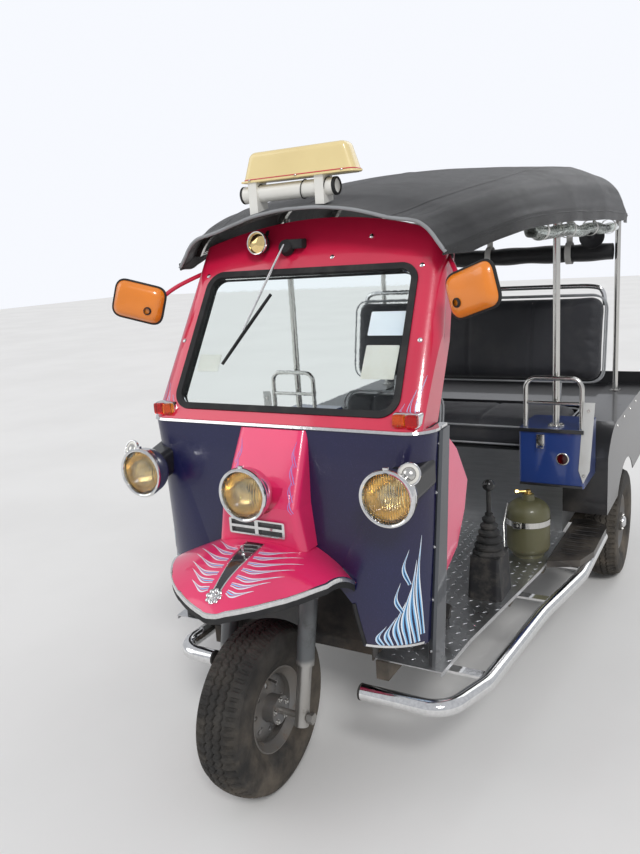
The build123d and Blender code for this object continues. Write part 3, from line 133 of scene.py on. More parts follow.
class Finish:
    """A material round one Principled shader, filled in by sums, noises and colour mixes."""

    def __init__(self, name, colour=(0.5, 0.5, 0.5), **constants):
        self.name = name
        self.material = bpy.data.materials.new(name)
        self.material.use_nodes = True
        self.tree = self.material.node_tree
        self.shader = self.tree.nodes["Principled BSDF"]
        self.shader.inputs["Base Color"].default_value = (*colour, 1)
        for socket, constant in constants.items():
            self.shader.inputs[socket.replace("_", " ")].default_value = constant
        self.place = self.node("ShaderNodeTexCoord", output="Object")
        split = self.node("ShaderNodeSeparateXYZ", inputs=[self.place]).socket.node
        self.x, self.y, self.z = [Value(self, socket) for socket in split.outputs]

    def node(self, kind, settings=None, inputs=(), output=0):
        """Adds any node: its settings first, then the values or links of its sockets."""
        made = self.tree.nodes.new(kind)
        for name, setting in (settings or {}).items():
            setattr(made, name, setting)
        pairs = inputs.items() if isinstance(inputs, dict) else enumerate(inputs)
        for key, given in pairs:
            if isinstance(given, Value):
                self.tree.links.new(given.socket, made.inputs[key])
            else:
                made.inputs[key].default_value = given
        return Value(self, made.outputs[output])

    def noise(self, scale, detail=3, roughness=0.55, stretch=None):
        """Cloudy value around 0.5; scale is in features a metre."""
        place = self.place
        if stretch:
            place = self.node("ShaderNodeVectorMath", {"operation": "MULTIPLY"}, [place, stretch])
        sockets = {"Vector": place, "Scale": scale, "Detail": detail, "Roughness": roughness}
        return self.node("ShaderNodeTexNoise", None, sockets)

    def grain(self, scale):
        """Distance to the edges of leather-like cells; scale is in cells a metre."""
        sockets = {"Vector": self.place, "Scale": scale}
        return self.node("ShaderNodeTexVoronoi", {"feature": "DISTANCE_TO_EDGE"}, sockets)

    def blend(self, first, second, share):
        """Colour between two colours; each may be a tuple or a Value."""
        first, second = [(*c, 1) if isinstance(c, tuple) else c for c in (first, second)]
        inputs = {0: share, 6: first, 7: second}
        return self.node("ShaderNodeMix", {"data_type": "RGBA"}, inputs, output=2)

    def feed(self, socket, value):
        self.tree.links.new(value.socket, self.shader.inputs[socket])

    def dusty(self, tone, dust):
        self.feed("Base Color", self.blend(tone, dust_colour, dust))

    def bump(self, height, depth, after=None):
        """Surface relief; depth is in metres for a height of 1."""
        sockets = {"Height": height, "Distance": depth, "Strength": 1}
        if after:
            sockets["Normal"] = after
        bumped = self.node("ShaderNodeBump", None, sockets)
        self.feed("Normal", bumped)
        return bumped


dust_colour = (0.2, 0.165, 0.125)
grime_colour = (0.05, 0.04, 0.03)


def dust_share(finish, top, strength=1):
    """Road dust: thick near the ground, none above top, broken up by noise."""
    clouds = finish.noise(6, 5, 0.65)
    low = 1 - finish.z.ramp(0.12, top)
    return (low * clouds.ramp(0.3, 0.72)) * strength


def paint(name, colour, dust_top=0.62, dust=0.75, coat=1, roughness=0.28, shade=None, fleck=0):
    """Glossy enamel on sheet metal: slow tone changes, fine orange peel, dust low down."""
    finish = Finish(name, colour, Coat_Weight=coat, Coat_Roughness=0.05, Specular_IOR_Level=0.5)
    shade = shade or tuple(channel * 0.62 for channel in colour)
    tone = finish.blend(colour, shade, finish.noise(2.2, 4).ramp(0.34, 0.72) * 0.55)
    if fleck:
        tone = finish.blend(tone, (0.3, 0.2, 0.75), (finish.noise(420, 1) > 0.66) * fleck)
    dust_here = dust_share(finish, dust_top, dust)
    finish.dusty(tone, dust_here)
    scuffs = finish.noise(38, 6, 0.7, (1, 1, 3)).ramp(0.6, 0.78)
    finish.feed("Roughness", roughness + scuffs * 0.22 + dust_here * 0.45)
    finish.feed("Coat Weight", coat - dust_here * coat)
    finish.bump(finish.noise(150, 2), 0.00025)
    return finish


def metal(name, colour, roughness, dust_top=0.3, dust=0.5, pits=0.15, brushed=(1, 1, 1)):
    """Bare or plated metal with faint streaks, grime spots and dust low down."""
    finish = Finish(name, colour, Metallic=1)
    streaks = finish.noise(90, 3, 0.6, brushed)
    spots = finish.noise(24, 6, 0.7).ramp(0.62, 0.8) * pits
    dust_here = dust_share(finish, dust_top, dust)
    tone = finish.blend(colour, tuple(c * 0.72 for c in colour), streaks.ramp(0.3, 0.7) * 0.5)
    tone = finish.blend(tone, grime_colour, spots)
    finish.dusty(tone, dust_here)
    finish.feed("Metallic", 1 - (spots + dust_here))
    finish.feed("Roughness", streaks * 0.1 + (roughness - 0.05) + spots * 0.5 + dust_here * 0.6)
    finish.bump(streaks, 0.00012)
    return finish


def rubber(name, colour=(0.018, 0.018, 0.019), roughness=0.62, dust_top=0.5, dust=0.55):
    """Moulded rubber or dull plastic: paler in patches, fine grain, dust low down."""
    finish = Finish(name, colour, Specular_IOR_Level=0.35)
    dust_here = dust_share(finish, dust_top, dust)
    tone = finish.blend(colour, (0.05, 0.048, 0.045), finish.noise(14, 5).ramp(0.45, 0.75) * 0.6)
    finish.dusty(tone, dust_here)
    finish.feed("Roughness", roughness + finish.noise(60, 3) * 0.2)
    finish.bump(finish.noise(700, 2), 0.00015)
    return finish


def vinyl(name, colour, grain=900, roughness=0.42, worn=(0.09, 0.085, 0.08), wear=0.35):
    """Coated cloth: leather-like grain cells, worn paler in patches."""
    finish = Finish(name, colour, Specular_IOR_Level=0.45, Sheen_Weight=0.12, Sheen_Roughness=0.5)
    patches = finish.noise(5, 5, 0.62).ramp(0.48, 0.78) * wear
    finish.feed("Base Color", finish.blend(colour, worn, patches))
    finish.feed("Roughness", roughness + patches * 0.35 + finish.noise(40, 3) * 0.12)
    relief = finish.bump(finish.grain(grain).ramp(0.02, 0.28), 0.00022)
    wrinkles = finish.noise(26, 5, 0.6)
    finish.bump(wrinkles, 0.0011, relief)
    return finish


def clear_plastic(name, colour, roughness, ior=1.49, ribs=0):
    """Clear or coloured plastic or glass, hazed in patches; ribs is in radians a metre."""
    finish = Finish(name, colour, Transmission_Weight=1, IOR=ior)
    haze = finish.noise(30, 5, 0.65)
    finish.feed("Roughness", roughness + haze.ramp(0.5, 0.8) * 0.18)
    if ribs:
        finish.bump((finish.x * ribs).sine(), 0.0006)
    else:
        finish.bump(haze, 0.0003)
    return finish


def cast_iron():
    """Engine casting with oil in patches."""
    cast = Finish("cast_iron", (0.1, 0.1, 0.105))
    oil = cast.noise(7, 6, 0.7).ramp(0.42, 0.7)
    tone = cast.blend((0.13, 0.13, 0.135), (0.02, 0.016, 0.012), oil)
    cast.dusty(tone, dust_share(cast, 0.5, 0.8))
    cast.feed("Metallic", 0.85 - oil * 0.7)
    cast.feed("Roughness", 0.62 - oil * 0.3)
    cast.bump(cast.noise(260, 4), 0.0006)
    return cast


def fork_grey():
    """Dark shrouds over bare legs, both with grease."""
    fork = Finish("fork_grey", (0.18, 0.19, 0.2), Coat_Weight=0.3)
    bare = 1 - fork.z.ramp(0.405, 0.425)
    grease = fork.noise(16, 6, 0.7).ramp(0.5, 0.74)
    shroud = fork.blend((0.085, 0.092, 0.095), (0.035, 0.035, 0.033), grease * 0.7)
    leg = fork.blend((0.4, 0.39, 0.37), (0.06, 0.05, 0.04), grease)
    tone = fork.blend(shroud, leg, bare)
    fork.dusty(tone, dust_share(fork, 0.45, 0.7))
    fork.feed("Metallic", bare * (0.9 - grease * 0.8))
    fork.feed("Roughness", 0.36 + grease * 0.3)
    fork.bump(fork.noise(180, 3), 0.0002)
    return fork


def rim_paint():
    """Old silver paint on the rims, with rust and dust."""
    rim = Finish("rim_paint", (0.3, 0.31, 0.32))
    rust = rim.noise(30, 6, 0.7).ramp(0.56, 0.74)
    silver = rim.blend((0.19, 0.19, 0.19), (0.11, 0.05, 0.022), rust)
    rim.dusty(silver, rim.noise(9, 5).ramp(0.3, 0.7) * 0.55)
    rim.feed("Metallic", 0.6 - rust * 0.6)
    rim.feed("Roughness", 0.42 + rust * 0.35)
    rim.bump(rim.noise(220, 3), 0.0003)
    return rim


def controls_mixed():
    """Gear lever and pedals: dark iron low down, a rubber gaiter over it, a glossy knob on top."""
    controls = Finish("controls_mixed", (0.05, 0.05, 0.05))
    iron = 1 - controls.z.ramp(0.505, 0.509)
    knob = controls.z.ramp(0.729, 0.733)
    dirt = controls.noise(22, 5, 0.65).ramp(0.42, 0.72)
    iron_tone = controls.blend((0.022, 0.022, 0.024), (0.075, 0.068, 0.06), dirt)
    gaiter_tone = controls.blend((0.012, 0.012, 0.012), (0.05, 0.046, 0.042), dirt)
    tone = controls.blend(controls.blend(gaiter_tone, iron_tone, iron), (0.012, 0.012, 0.012), knob)
    controls.feed("Base Color", tone)
    controls.feed("Metallic", iron * 0.35)
    controls.feed("Roughness", 0.62 - iron * 0.12 - knob * 0.4)
    controls.bump(controls.noise(240, 3), 0.0003)
    return controls


def body_paints(colours):
    """Enamels of the body, most of them in the colours that a user may change."""
    navy, pink, red = [tuple(colour) for colour in (colours.cowl, colours.fender, colours.surround)]
    box_blue, cream, orange = [tuple(colour) for colour in (colours.side_box, colours.sign, colours.mirror)]
    return [
        paint("navy_paint", navy, 0.6, 0.3, 0.35, 0.34, (0.01, 0.003, 0.03), 0.05),
        paint("pink_paint", pink, 0.4),
        paint("red_paint", red, 0.4),
        paint("blue_paint", box_blue, 0.75, 0.35),
        paint("mirror_orange", orange, 0.3, coat=0.8),
        paint("sign_cream", cream, 0.3, 0.75, 0.7, 0.34, (0.66, 0.5, 0.22)),
        paint("white_paint", (0.78, 0.77, 0.72), coat=0.6, shade=(0.62, 0.58, 0.5)),
        paint("olive_paint", (0.105, 0.1, 0.045), 0.6, 0.5, 0.2, 0.5),
        paint("black_paint", (0.012, 0.012, 0.014), 0.7, 0.6, 0.5, 0.4),
        paint("grey_paint", (0.05, 0.056, 0.066), 0.55, 0.5, 0.5, 0.4),
        paint("frame_paint", (0.02, 0.02, 0.022), 0.75, 0.9, 0, 0.6),
        paint("black_gloss", (0.01, 0.01, 0.012), 0.4, roughness=0.2),
        paint("flame_blue", (0.16, 0.46, 0.8), 0.5, coat=0.8, shade=(0.42, 0.7, 0.92)),
        paint("flame_white", (0.8, 0.84, 0.88), 0.5, coat=0.8, shade=(0.5, 0.68, 0.88)),
        paint("flame_lilac", (0.34, 0.22, 0.62), 0.4, coat=0.8, shade=(0.2, 0.3, 0.72)),
    ]


def other_finishes():
    """Metals, rubbers, coated cloths, webbing, card and clear plastics."""
    return [
        metal("chrome", (0.8, 0.8, 0.8), 0.09, 0.33, 0.35),
        metal("stainless", (0.66, 0.65, 0.62), 0.2, brushed=(1, 1, 0.05)),
        metal("seat_steel", (0.46, 0.47, 0.48), 0.34, 0.6, brushed=(0.1, 1, 1)),
        metal("tread_plate", (0.66, 0.67, 0.68), 0.28, 0.5, 0.25, 0.3),
        metal("exhaust_steel", (0.26, 0.21, 0.17), 0.5, 0.5, 0.9, 0.6),
        metal("brass", (0.62, 0.44, 0.16), 0.28),
        metal("reflector", (0.95, 0.72, 0.34), 0.06, dust=0, pits=0),
        metal("mirror_glass", (0.86, 0.88, 0.9), 0.02, dust=0, pits=0.05),
        rubber("rubber"),
        rubber("tyre", (0.022, 0.021, 0.02), 0.72, 0.62, 0.62),
        rubber("dash_plastic", (0.03, 0.03, 0.034), 0.5, 0.9, 0.1),
        vinyl("seat_vinyl", (0.016, 0.017, 0.022)),
        vinyl("canopy_vinyl", (0.006, 0.006, 0.007), 620, 0.4, (0.035, 0.034, 0.032), 0.35),
        vinyl("curtain_vinyl", (0.016, 0.016, 0.018), 620, 0.4),
        vinyl("white_vinyl", (0.62, 0.62, 0.6), 800, 0.45, (0.4, 0.37, 0.32), 0.6),
        vinyl("grey_piping", (0.3, 0.31, 0.32), 800, 0.38, (0.16, 0.15, 0.14), 0.5),
        vinyl("webbing", (0.7, 0.69, 0.66), 1500, 0.7, (0.36, 0.33, 0.28), 0.6),
        vinyl("paper", (0.8, 0.79, 0.72), 2000, 0.8, (0.62, 0.56, 0.42), 0.5),
        clear_plastic("amber_lens", (0.95, 0.3, 0.01), 0.08),
        clear_plastic("red_lens", (0.8, 0.015, 0.01), 0.08),
        clear_plastic("clear_lens", (0.96, 0.95, 0.9), 0.02, ribs=900),
        clear_plastic("screen_glass", (0.9, 0.96, 0.95), 0, ior=1.08),
        clear_plastic("curtain_film", (0.86, 0.88, 0.86), 0.22, ior=1.12),
    ]


finishes = {}


def make_finishes(colours):
    """One finish for each material slot of the record, and some for small parts."""
    mixed = [cast_iron(), fork_grey(), rim_paint(), controls_mixed()]
    for finish in [*body_paints(colours), *other_finishes(), *mixed]:
        finishes[finish.name] = finish.material


# Shapes


class Shape:
    """Verts and faces gathered from simple forms, then made into one piece."""

    def __init__(self):
        self.verts = []
        self.faces = []
        self.kinds = []

    def add(self, verts, faces, kind=0):
        start = len(self.verts)
        self.verts += [tuple(v) for v in verts]
        self.faces += [tuple(start + i for i in face) for face in faces]
        self.kinds += [kind] * len(faces)

    def grid(self, rows, kind=0, close_rows=False, close_columns=False):
        """Quads over rows of points."""
        wide = len(rows[0])
        faces = []
        for r in range(len(rows) if close_rows else len(rows) - 1):
            for c in range(wide if close_columns else wide - 1):
                a, b = r * wide, (r + 1) % len(rows) * wide
                d = (c + 1) % wide
                faces.append((a + c, a + d, b + d, b + c))
        self.add([p for row in rows for p in row], faces, kind)

    def cap_ends(self, rows, kind=0, first=True):
        """Closes the last row of the grid that was added last, and its first row too."""
        count = len(rows[0])
        start, last = len(self.verts) - len(rows) * count, len(self.verts) - count
        if first:
            self.faces.append(tuple(reversed(range(start, start + count))))
            self.kinds.append(kind)
        self.faces.append(tuple(range(last, last + count)))
        self.kinds.append(kind)

    def tube(self, path, radius, sides=14, closed=False, kind=0):
        """Round tube along points; radius is a number or one for each point."""
        path = [Vector(p) for p in path]
        count = len(path)
        radii = radius if isinstance(radius, list) else [radius] * count
        side = None
        rows = []
        for i, point in enumerate(path):
            before = path[i - 1] if i or closed else point
            after = path[(i + 1) % count] if i < count - 1 or closed else point
            along = (after - before).normalized()
            if side is None:
                side = side_of(along)
            side = (side - along * side.dot(along)).normalized()
            up = along.cross(side)
            rows.append([point + (side * cos(t) + up * sin(t)) * radii[i] for t in turns(sides)])
        self.grid(rows, kind, close_rows=closed, close_columns=True)
        if not closed:
            self.cap_ends(rows, kind)

    def lathe(self, profile, origin, axis, sides=48, kind=0):
        """Turned form: profile holds (along, radius) pairs in millimetres."""
        axis = Vector(axis).normalized()
        side = side_of(axis)
        up = axis.cross(side)
        rows = []
        for turn in turns(sides):
            out = side * cos(turn) + up * sin(turn)
            rows.append([Vector(origin) + axis * (a / 1000) + out * (r / 1000) for a, r in profile])
        self.grid(rows, kind, close_rows=True)

    def slab(self, outline, origin, across, upward, depth, bevel=0, kind=0, steps=2):
        """Flat plate: a 2-D outline on a plane, pulled out by depth and with rounded edges."""
        across, upward = Vector(across).normalized(), Vector(upward).normalized()
        out = across.cross(upward)
        mesh = bmesh.new()
        face = mesh.faces.new([mesh.verts.new(Vector(origin) + across * x + upward * y) for x, y in outline])
        pulled = bmesh.ops.extrude_face_region(mesh, geom=[face])["geom"]
        moved = [v for v in pulled if isinstance(v, bmesh.types.BMVert)]
        bmesh.ops.translate(mesh, verts=moved, vec=out * depth)
        bmesh.ops.recalc_face_normals(mesh, faces=mesh.faces)
        if bevel:
            edges = [e for e in mesh.edges if len(e.link_faces) == 2 and e.calc_face_angle() > 0.6]
            bmesh.ops.bevel(mesh, geom=edges, offset=bevel, segments=steps, profile=0.6, affect="EDGES")
        mesh.verts.index_update()
        self.add([v.co.copy() for v in mesh.verts], [[v.index for v in f.verts] for f in mesh.faces], kind)
        mesh.free()

    def upright(self, outline, origin, depth, bevel, kind=0, steps=2):
        """Plate that stands across the vehicle and is pulled out to the back."""
        self.slab(outline, origin, (-1, 0, 0), (0, 0, 1), depth, bevel, kind, steps)

    def block(self, centre, size, bevel=0.002, kind=0):
        """Box with rounded edges."""
        origin = Vector(centre) - Vector((0, 0, size[2] / 2))
        self.slab(rectangle(size[0], size[1]), origin, (1, 0, 0), (0, 1, 0), size[2], bevel, kind)

    def hex_bolt(self, centre, axis, across, height, kind=0):
        """Bolt head on a washer; its width and height are in millimetres."""
        r = across / 2
        self.lathe([(0, 0.1), (0, r * 1.5), (1.5, r * 1.5), (1.5, 0.1)], centre, axis, 16, kind)
        profile = [(1.5, 0.1), (1.5, r), (height * 0.8, r), (height, r * 0.82), (height, 0.1)]
        self.lathe(profile, centre, axis, 6, kind)

    def build(self, name, materials, body="vehicle", slot=None, angle=38, replaces=None):
        """Turns what was gathered into one piece that rides on a body."""
        mesh = bpy.data.meshes.new(name)
        mesh.from_pydata(self.verts, [], self.faces)
        for material in [materials] if isinstance(materials, str) else materials:
            mesh.materials.append(finishes[material])
        mesh.polygons.foreach_set("material_index", self.kinds)
        cleaned = bmesh.new()
        cleaned.from_mesh(mesh)
        bmesh.ops.remove_doubles(cleaned, verts=cleaned.verts, dist=1e-6)
        bmesh.ops.recalc_face_normals(cleaned, faces=cleaned.faces)
        cleaned.to_mesh(mesh)
        cleaned.free()
        mesh.polygons.foreach_set("use_smooth", [True] * len(mesh.polygons))
        mesh.set_sharp_from_angle(angle=radians(angle))
        mesh.update()
        made = bpy.data.objects.new(name, mesh)
        bpy.context.scene.collection.objects.link(made)
        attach(made, body)
        if replaces:
            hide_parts(replaces)
        return made


def side_of(axis):
    """A direction square to an axis."""
    helper = Vector((0, 0, 1)) if abs(axis.z) < 0.9 else Vector((1, 0, 0))
    return axis.cross(helper).normalized()


def rounded(corners, radius, steps=6):
    """2-D outline with round corners."""
    outline = []
    for i, corner in enumerate(corners):
        here = Vector(corner)
        before, after = Vector(corners[i - 1]) - here, Vector(corners[(i + 1) % len(corners)]) - here
        reach = min(radius / tan(before.angle(after) / 2), before.length * 0.49, after.length * 0.49)
        start, end = here + before.normalized() * reach, here + after.normalized() * reach
        for s in range(steps + 1):
            t = s / steps
            outline.append(tuple(start * (1 - t) ** 2 + here * 2 * t * (1 - t) + end * t * t))
    return outline


def rectangle(width, height):
    w, h = width / 2, height / 2
    return [(-w, -h), (w, -h), (w, h), (-w, h)]


def panel(width, height, radius, steps=6):
    """Rectangle with round corners."""
    return rounded(rectangle(width, height), radius, steps)


def turns(count, start=0):
    """Angles at even steps round a circle."""
    return [start + 2 * pi * step / count for step in range(count)]


def spline_point(points, i, t):
    """Point at share t of the smooth line from points[i] to points[i + 1]."""
    start, end = Vector(points[i]), Vector(points[i + 1])
    before = Vector(points[i - 1]) if i else start * 2 - end
    after = Vector(points[i + 2]) if i + 2 < len(points) else end * 2 - start
    slope = end - before
    bend = 2 * before - 5 * start + 4 * end - after
    twist = 3 * start - before - 3 * end + after
    return 0.5 * (2 * start + slope * t + bend * t**2 + twist * t**3)


def curve_through(points, steps=8):
    """Smooth line through 3-D points."""
    places = [(i, s / steps) for i in range(len(points) - 1) for s in range(steps)]
    return [*(spline_point(points, i, t) for i, t in places), Vector(points[-1])]


# Setting things on the skin of the solids. The rays start well clear of the vehicle.

clear_above, clear_ahead, clear_behind, clear_beside = 3, -4, 4, 2


def surface_of(*nodes):
    """Search tree over CAD nodes, for setting things on their skin."""
    verts, faces = [], []
    for node in nodes:
        mesh = frame["nodes"][node].data
        start = len(verts)
        verts += [v.co.copy() for v in mesh.vertices]
        faces += [tuple(start + i for i in p.vertices) for p in mesh.polygons]
    return BVHTree.FromPolygons(verts, faces)


def set_on(skin, start, heading, lift=0):
    """Point where a ray meets the skin, raised by lift, and the skin's outward direction there."""
    spot, facing, _, _ = skin.ray_cast(Vector(start), Vector(heading))
    if spot is None:
        return None, None
    if facing.dot(Vector(heading)) > 0:
        facing = -facing
    return spot + facing * lift, facing


def from_above(x, distance):
    return (x, aft(distance), clear_above), (0, 0, -1)


def from_ahead(x, z):
    return (x, clear_ahead, z), (0, 1, 0)


def from_behind(x, z):
    return (x, clear_behind, z), (0, -1, 0)


def from_beside(side, distance, z):
    return (side * clear_beside, aft(distance), z), (-side, 0, 0)


def line_on(skin, aim, line, lift):
    """The points where a 2-D line meets the skin, raised by lift."""
    spots = [set_on(skin, *aim(a, b), lift)[0] for a, b in line]
    return [spot for spot in spots if spot is not None]


def rivets_on(shape, skin, aims, profile, sides):
    """A turned head at each place where a ray meets the skin."""
    for aim in aims:
        spot, facing = set_on(skin, *aim)
        if spot is not None:
            shape.lathe(profile, spot, facing, sides)


def ribbon_on(shape, skin, aim, line, widths, lift, kind=0, columns=4):
    """Thin strip laid on a skin along a 2-D line; a row that leaves the skin ends it."""
    rows = []
    for i, point in enumerate(line):
        before, after = line[max(i - 1, 0)], line[min(i + 1, len(line) - 1)]
        along = Vector((after[0] - before[0], after[1] - before[1])).normalized()
        side = Vector((-along.y, along.x))
        across = [Vector(point[:2]) + side * widths[i] * (c / columns - 0.5) for c in range(columns + 1)]
        row = line_on(skin, aim, across, lift)
        if len(row) <= columns:
            break
        rows.append(row)
    if len(rows) > 1:
        shape.grid(rows, kind)


def lick(shape, skin, aim, tongue, layers, side):
    """One flame tongue: nested ribbons that swell and end in a point. Layers: width share, lift, kind."""
    *corners, width = tongue
    line = curve_through([(x * side / 1000, y / 1000, 0) for x, y in corners], 9)
    for share, lift, kind in layers:
        part = line[:int((len(line) - 1) * (0.72 + 0.28 * share)) + 1]
        widths = []
        for i in range(len(part)):
            t = i / (len(part) - 1)
            swell = 0.62 + 0.54 * sin(pi * min(t * 1.25, 1)) ** 2
            widths.append(max(width / 1000 * share * (1 - t) ** 0.75 * swell, 0.0004))
        ribbon_on(shape, skin, aim, part, widths, lift, kind)


def licks_on(shape, skin, aim, tongues, layers):
    """The same flame tongues on both sides; they are given in millimetres."""
    for side in (-1, 1):
        for tongue in tongues:
            lick(shape, skin, aim, tongue, layers, side)


# Settings that a user would change


def size_setting(name, default, description):
    return bpy.props.FloatProperty(
        name=name, description=description, default=default, min=0.0, unit="LENGTH"
    )


def colour_setting(name, default, description):
    return bpy.props.FloatVectorProperty(
        name=name, description=description, default=default, subtype="COLOR", min=0.0, max=1.0
    )


class RickshawColours(bpy.types.PropertyGroup):
    fender: colour_setting("Fender", (0.83, 0.022, 0.135), "Pink of the fender, column and knee wings")
    surround: colour_setting("Surround", (0.66, 0.012, 0.060), "Red of the windscreen surround")
    cowl: colour_setting("Cowl", (0.005, 0.007, 0.052), "Navy of the cowl")
    side_box: colour_setting("Side box", (0.012, 0.040, 0.190), "Blue of the boxes ahead of the rear wheels")
    sign: colour_setting("Sign", (0.86, 0.70, 0.34), "Cream of the roof sign")
    mirror: colour_setting("Mirror", (0.90, 0.25, 0.010), "Orange of the mirror shells")


class RickshawSizes(bpy.types.PropertyGroup):
    tread_depth: size_setting("Tread depth", 0.006, "Depth of the grooves in the tyres")
    piping: size_setting("Piping radius", 0.004, "Radius of the piping on the seats")
    lip_strip: size_setting("Lip strip", 0.012, "Width of the bright strip along the fender's edge")
    canopy_hem: size_setting("Canopy hem", 0.030, "Width of the sewn hem round the canopy")
    lozenge: size_setting("Lozenge", 0.022, "Length of each raised lozenge on the floor plate")


def colours():
    return bpy.context.scene.rickshaw_colours


def sizes():
    return bpy.context.scene.rickshaw_sizes


class PieceOperator(bpy.types.Operator):
    """Makes one piece, or a group of like pieces"""

    bl_options = {"REGISTER", "UNDO"}

    def execute(self, context):
        self.make()
        return {"FINISHED"}


class RICKSHAW_OT_finishes(PieceOperator):
    """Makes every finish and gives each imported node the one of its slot"""

    bl_idname = "rickshaw.finishes"
    bl_label = "Finishes"

    # Nodes whose finish isn't the one of their slot
    own = {"driver_controls": "controls_mixed", "marker_lamps": "red_lens", "headlamp_lenses": "clear_lens"}

    def make(self):
        make_finishes(colours())
        for node, made in frame["nodes"].items():
            made.data.materials.clear()
            made.data.materials.append(finishes[self.own.get(node, record_slots[node])])


class RICKSHAW_OT_stage(PieceOperator):
    """Sets the pale floor, the plain light and the camera of the photograph"""

    bl_idname = "rickshaw.stage"
    bl_label = "Stage"

    camera_place = (1.226, -2.879, 1.554)
    camera_turn = radians(29.92)
    camera_dip = radians(12.54)
    camera_roll = radians(-3.67)
    focal_pixels = 771.26
    picture_height = 854
    floor_reach = 30
    floor_colour = (0.80, 0.79, 0.77)
    floor_shade = (0.76, 0.75, 0.73)
    sky_colour = (0.93, 0.95, 1.0)
    sky_seen = 1.0
    sky_light = 0.62
    # Suns: name, strength, spread in degrees, turn in degrees
    suns = [
        ("key", 1.35, 14, (48, 0, 38)),
        ("fill", 0.45, 40, (62, 0, -60)),
        ("back", 0.40, 40, (55, 0, 170)),
    ]

    def make(self):
        self.set_floor()
        self.set_sky()
        self.set_suns()
        self.set_camera()

    def set_floor(self):
        floor = Shape()
        reach = self.floor_reach
        floor.grid([[(-reach, -reach, 0), (reach, -reach, 0)], [(-reach, reach, 0), (reach, reach, 0)]])
        ground = Finish("floor", self.floor_colour, Roughness=0.75, Specular_IOR_Level=0.2)
        finishes["floor"] = ground.material
        tone = ground.noise(0.8, 4.0).ramp(0.3, 0.7)
        ground.feed("Base Color", ground.blend(self.floor_colour, self.floor_shade, tone))
        floor.build("floor", "floor")

    def set_sky(self):
        """Even sky: bright where it is seen, dimmer as light."""
        world = bpy.data.worlds.new("plain_sky")
        bpy.context.scene.world = world
        world.use_nodes = True
        tree = world.node_tree
        sky = tree.nodes["Background"]
        rays = tree.nodes.new("ShaderNodeLightPath")
        seen = tree.nodes.new("ShaderNodeMath")
        seen.operation = "MAXIMUM"
        for place, ray in enumerate(("Is Camera Ray", "Is Transmission Ray")):
            tree.links.new(rays.outputs[ray], seen.inputs[place])
        level = tree.nodes.new("ShaderNodeMapRange")
        level.inputs["To Min"].default_value = self.sky_light
        level.inputs["To Max"].default_value = self.sky_seen
        tree.links.new(seen.outputs[0], level.inputs["Value"])
        tree.links.new(level.outputs[0], sky.inputs["Strength"])
        sky.inputs["Color"].default_value = (*self.sky_colour, 1)

    def set_suns(self):
        for name, strength, spread, turn in self.suns:
            lamp = bpy.data.lights.new(name, "SUN")
            lamp.energy = strength
            lamp.angle = radians(spread)
            holder = bpy.data.objects.new(name, lamp)
            holder.rotation_euler = [radians(t) for t in turn]
            bpy.context.scene.collection.objects.link(holder)

    def set_camera(self):
        turn, dip, roll = self.camera_turn, self.camera_dip, self.camera_roll
        ahead = Vector((-sin(turn) * cos(dip), cos(turn) * cos(dip), -sin(dip)))
        level = Vector((cos(turn), sin(turn), 0))
        up = level.cross(ahead)
        across = level * cos(roll) + up * sin(roll)
        upward = up * cos(roll) - level * sin(roll)
        camera = bpy.data.cameras.new("camera")
        camera.sensor_width = 36
        camera.lens = self.focal_pixels * camera.sensor_width / self.picture_height
        camera.clip_end = 200
        holder = bpy.data.objects.new("camera", camera)
        bpy.context.scene.collection.objects.link(holder)
        turned = Matrix((across, upward, -ahead)).transposed().to_4x4()
        holder.matrix_world = Matrix.Translation(self.camera_place) @ turned
        bpy.context.scene.camera = holder
        bpy.context.scene.view_settings.view_transform = "Standard"


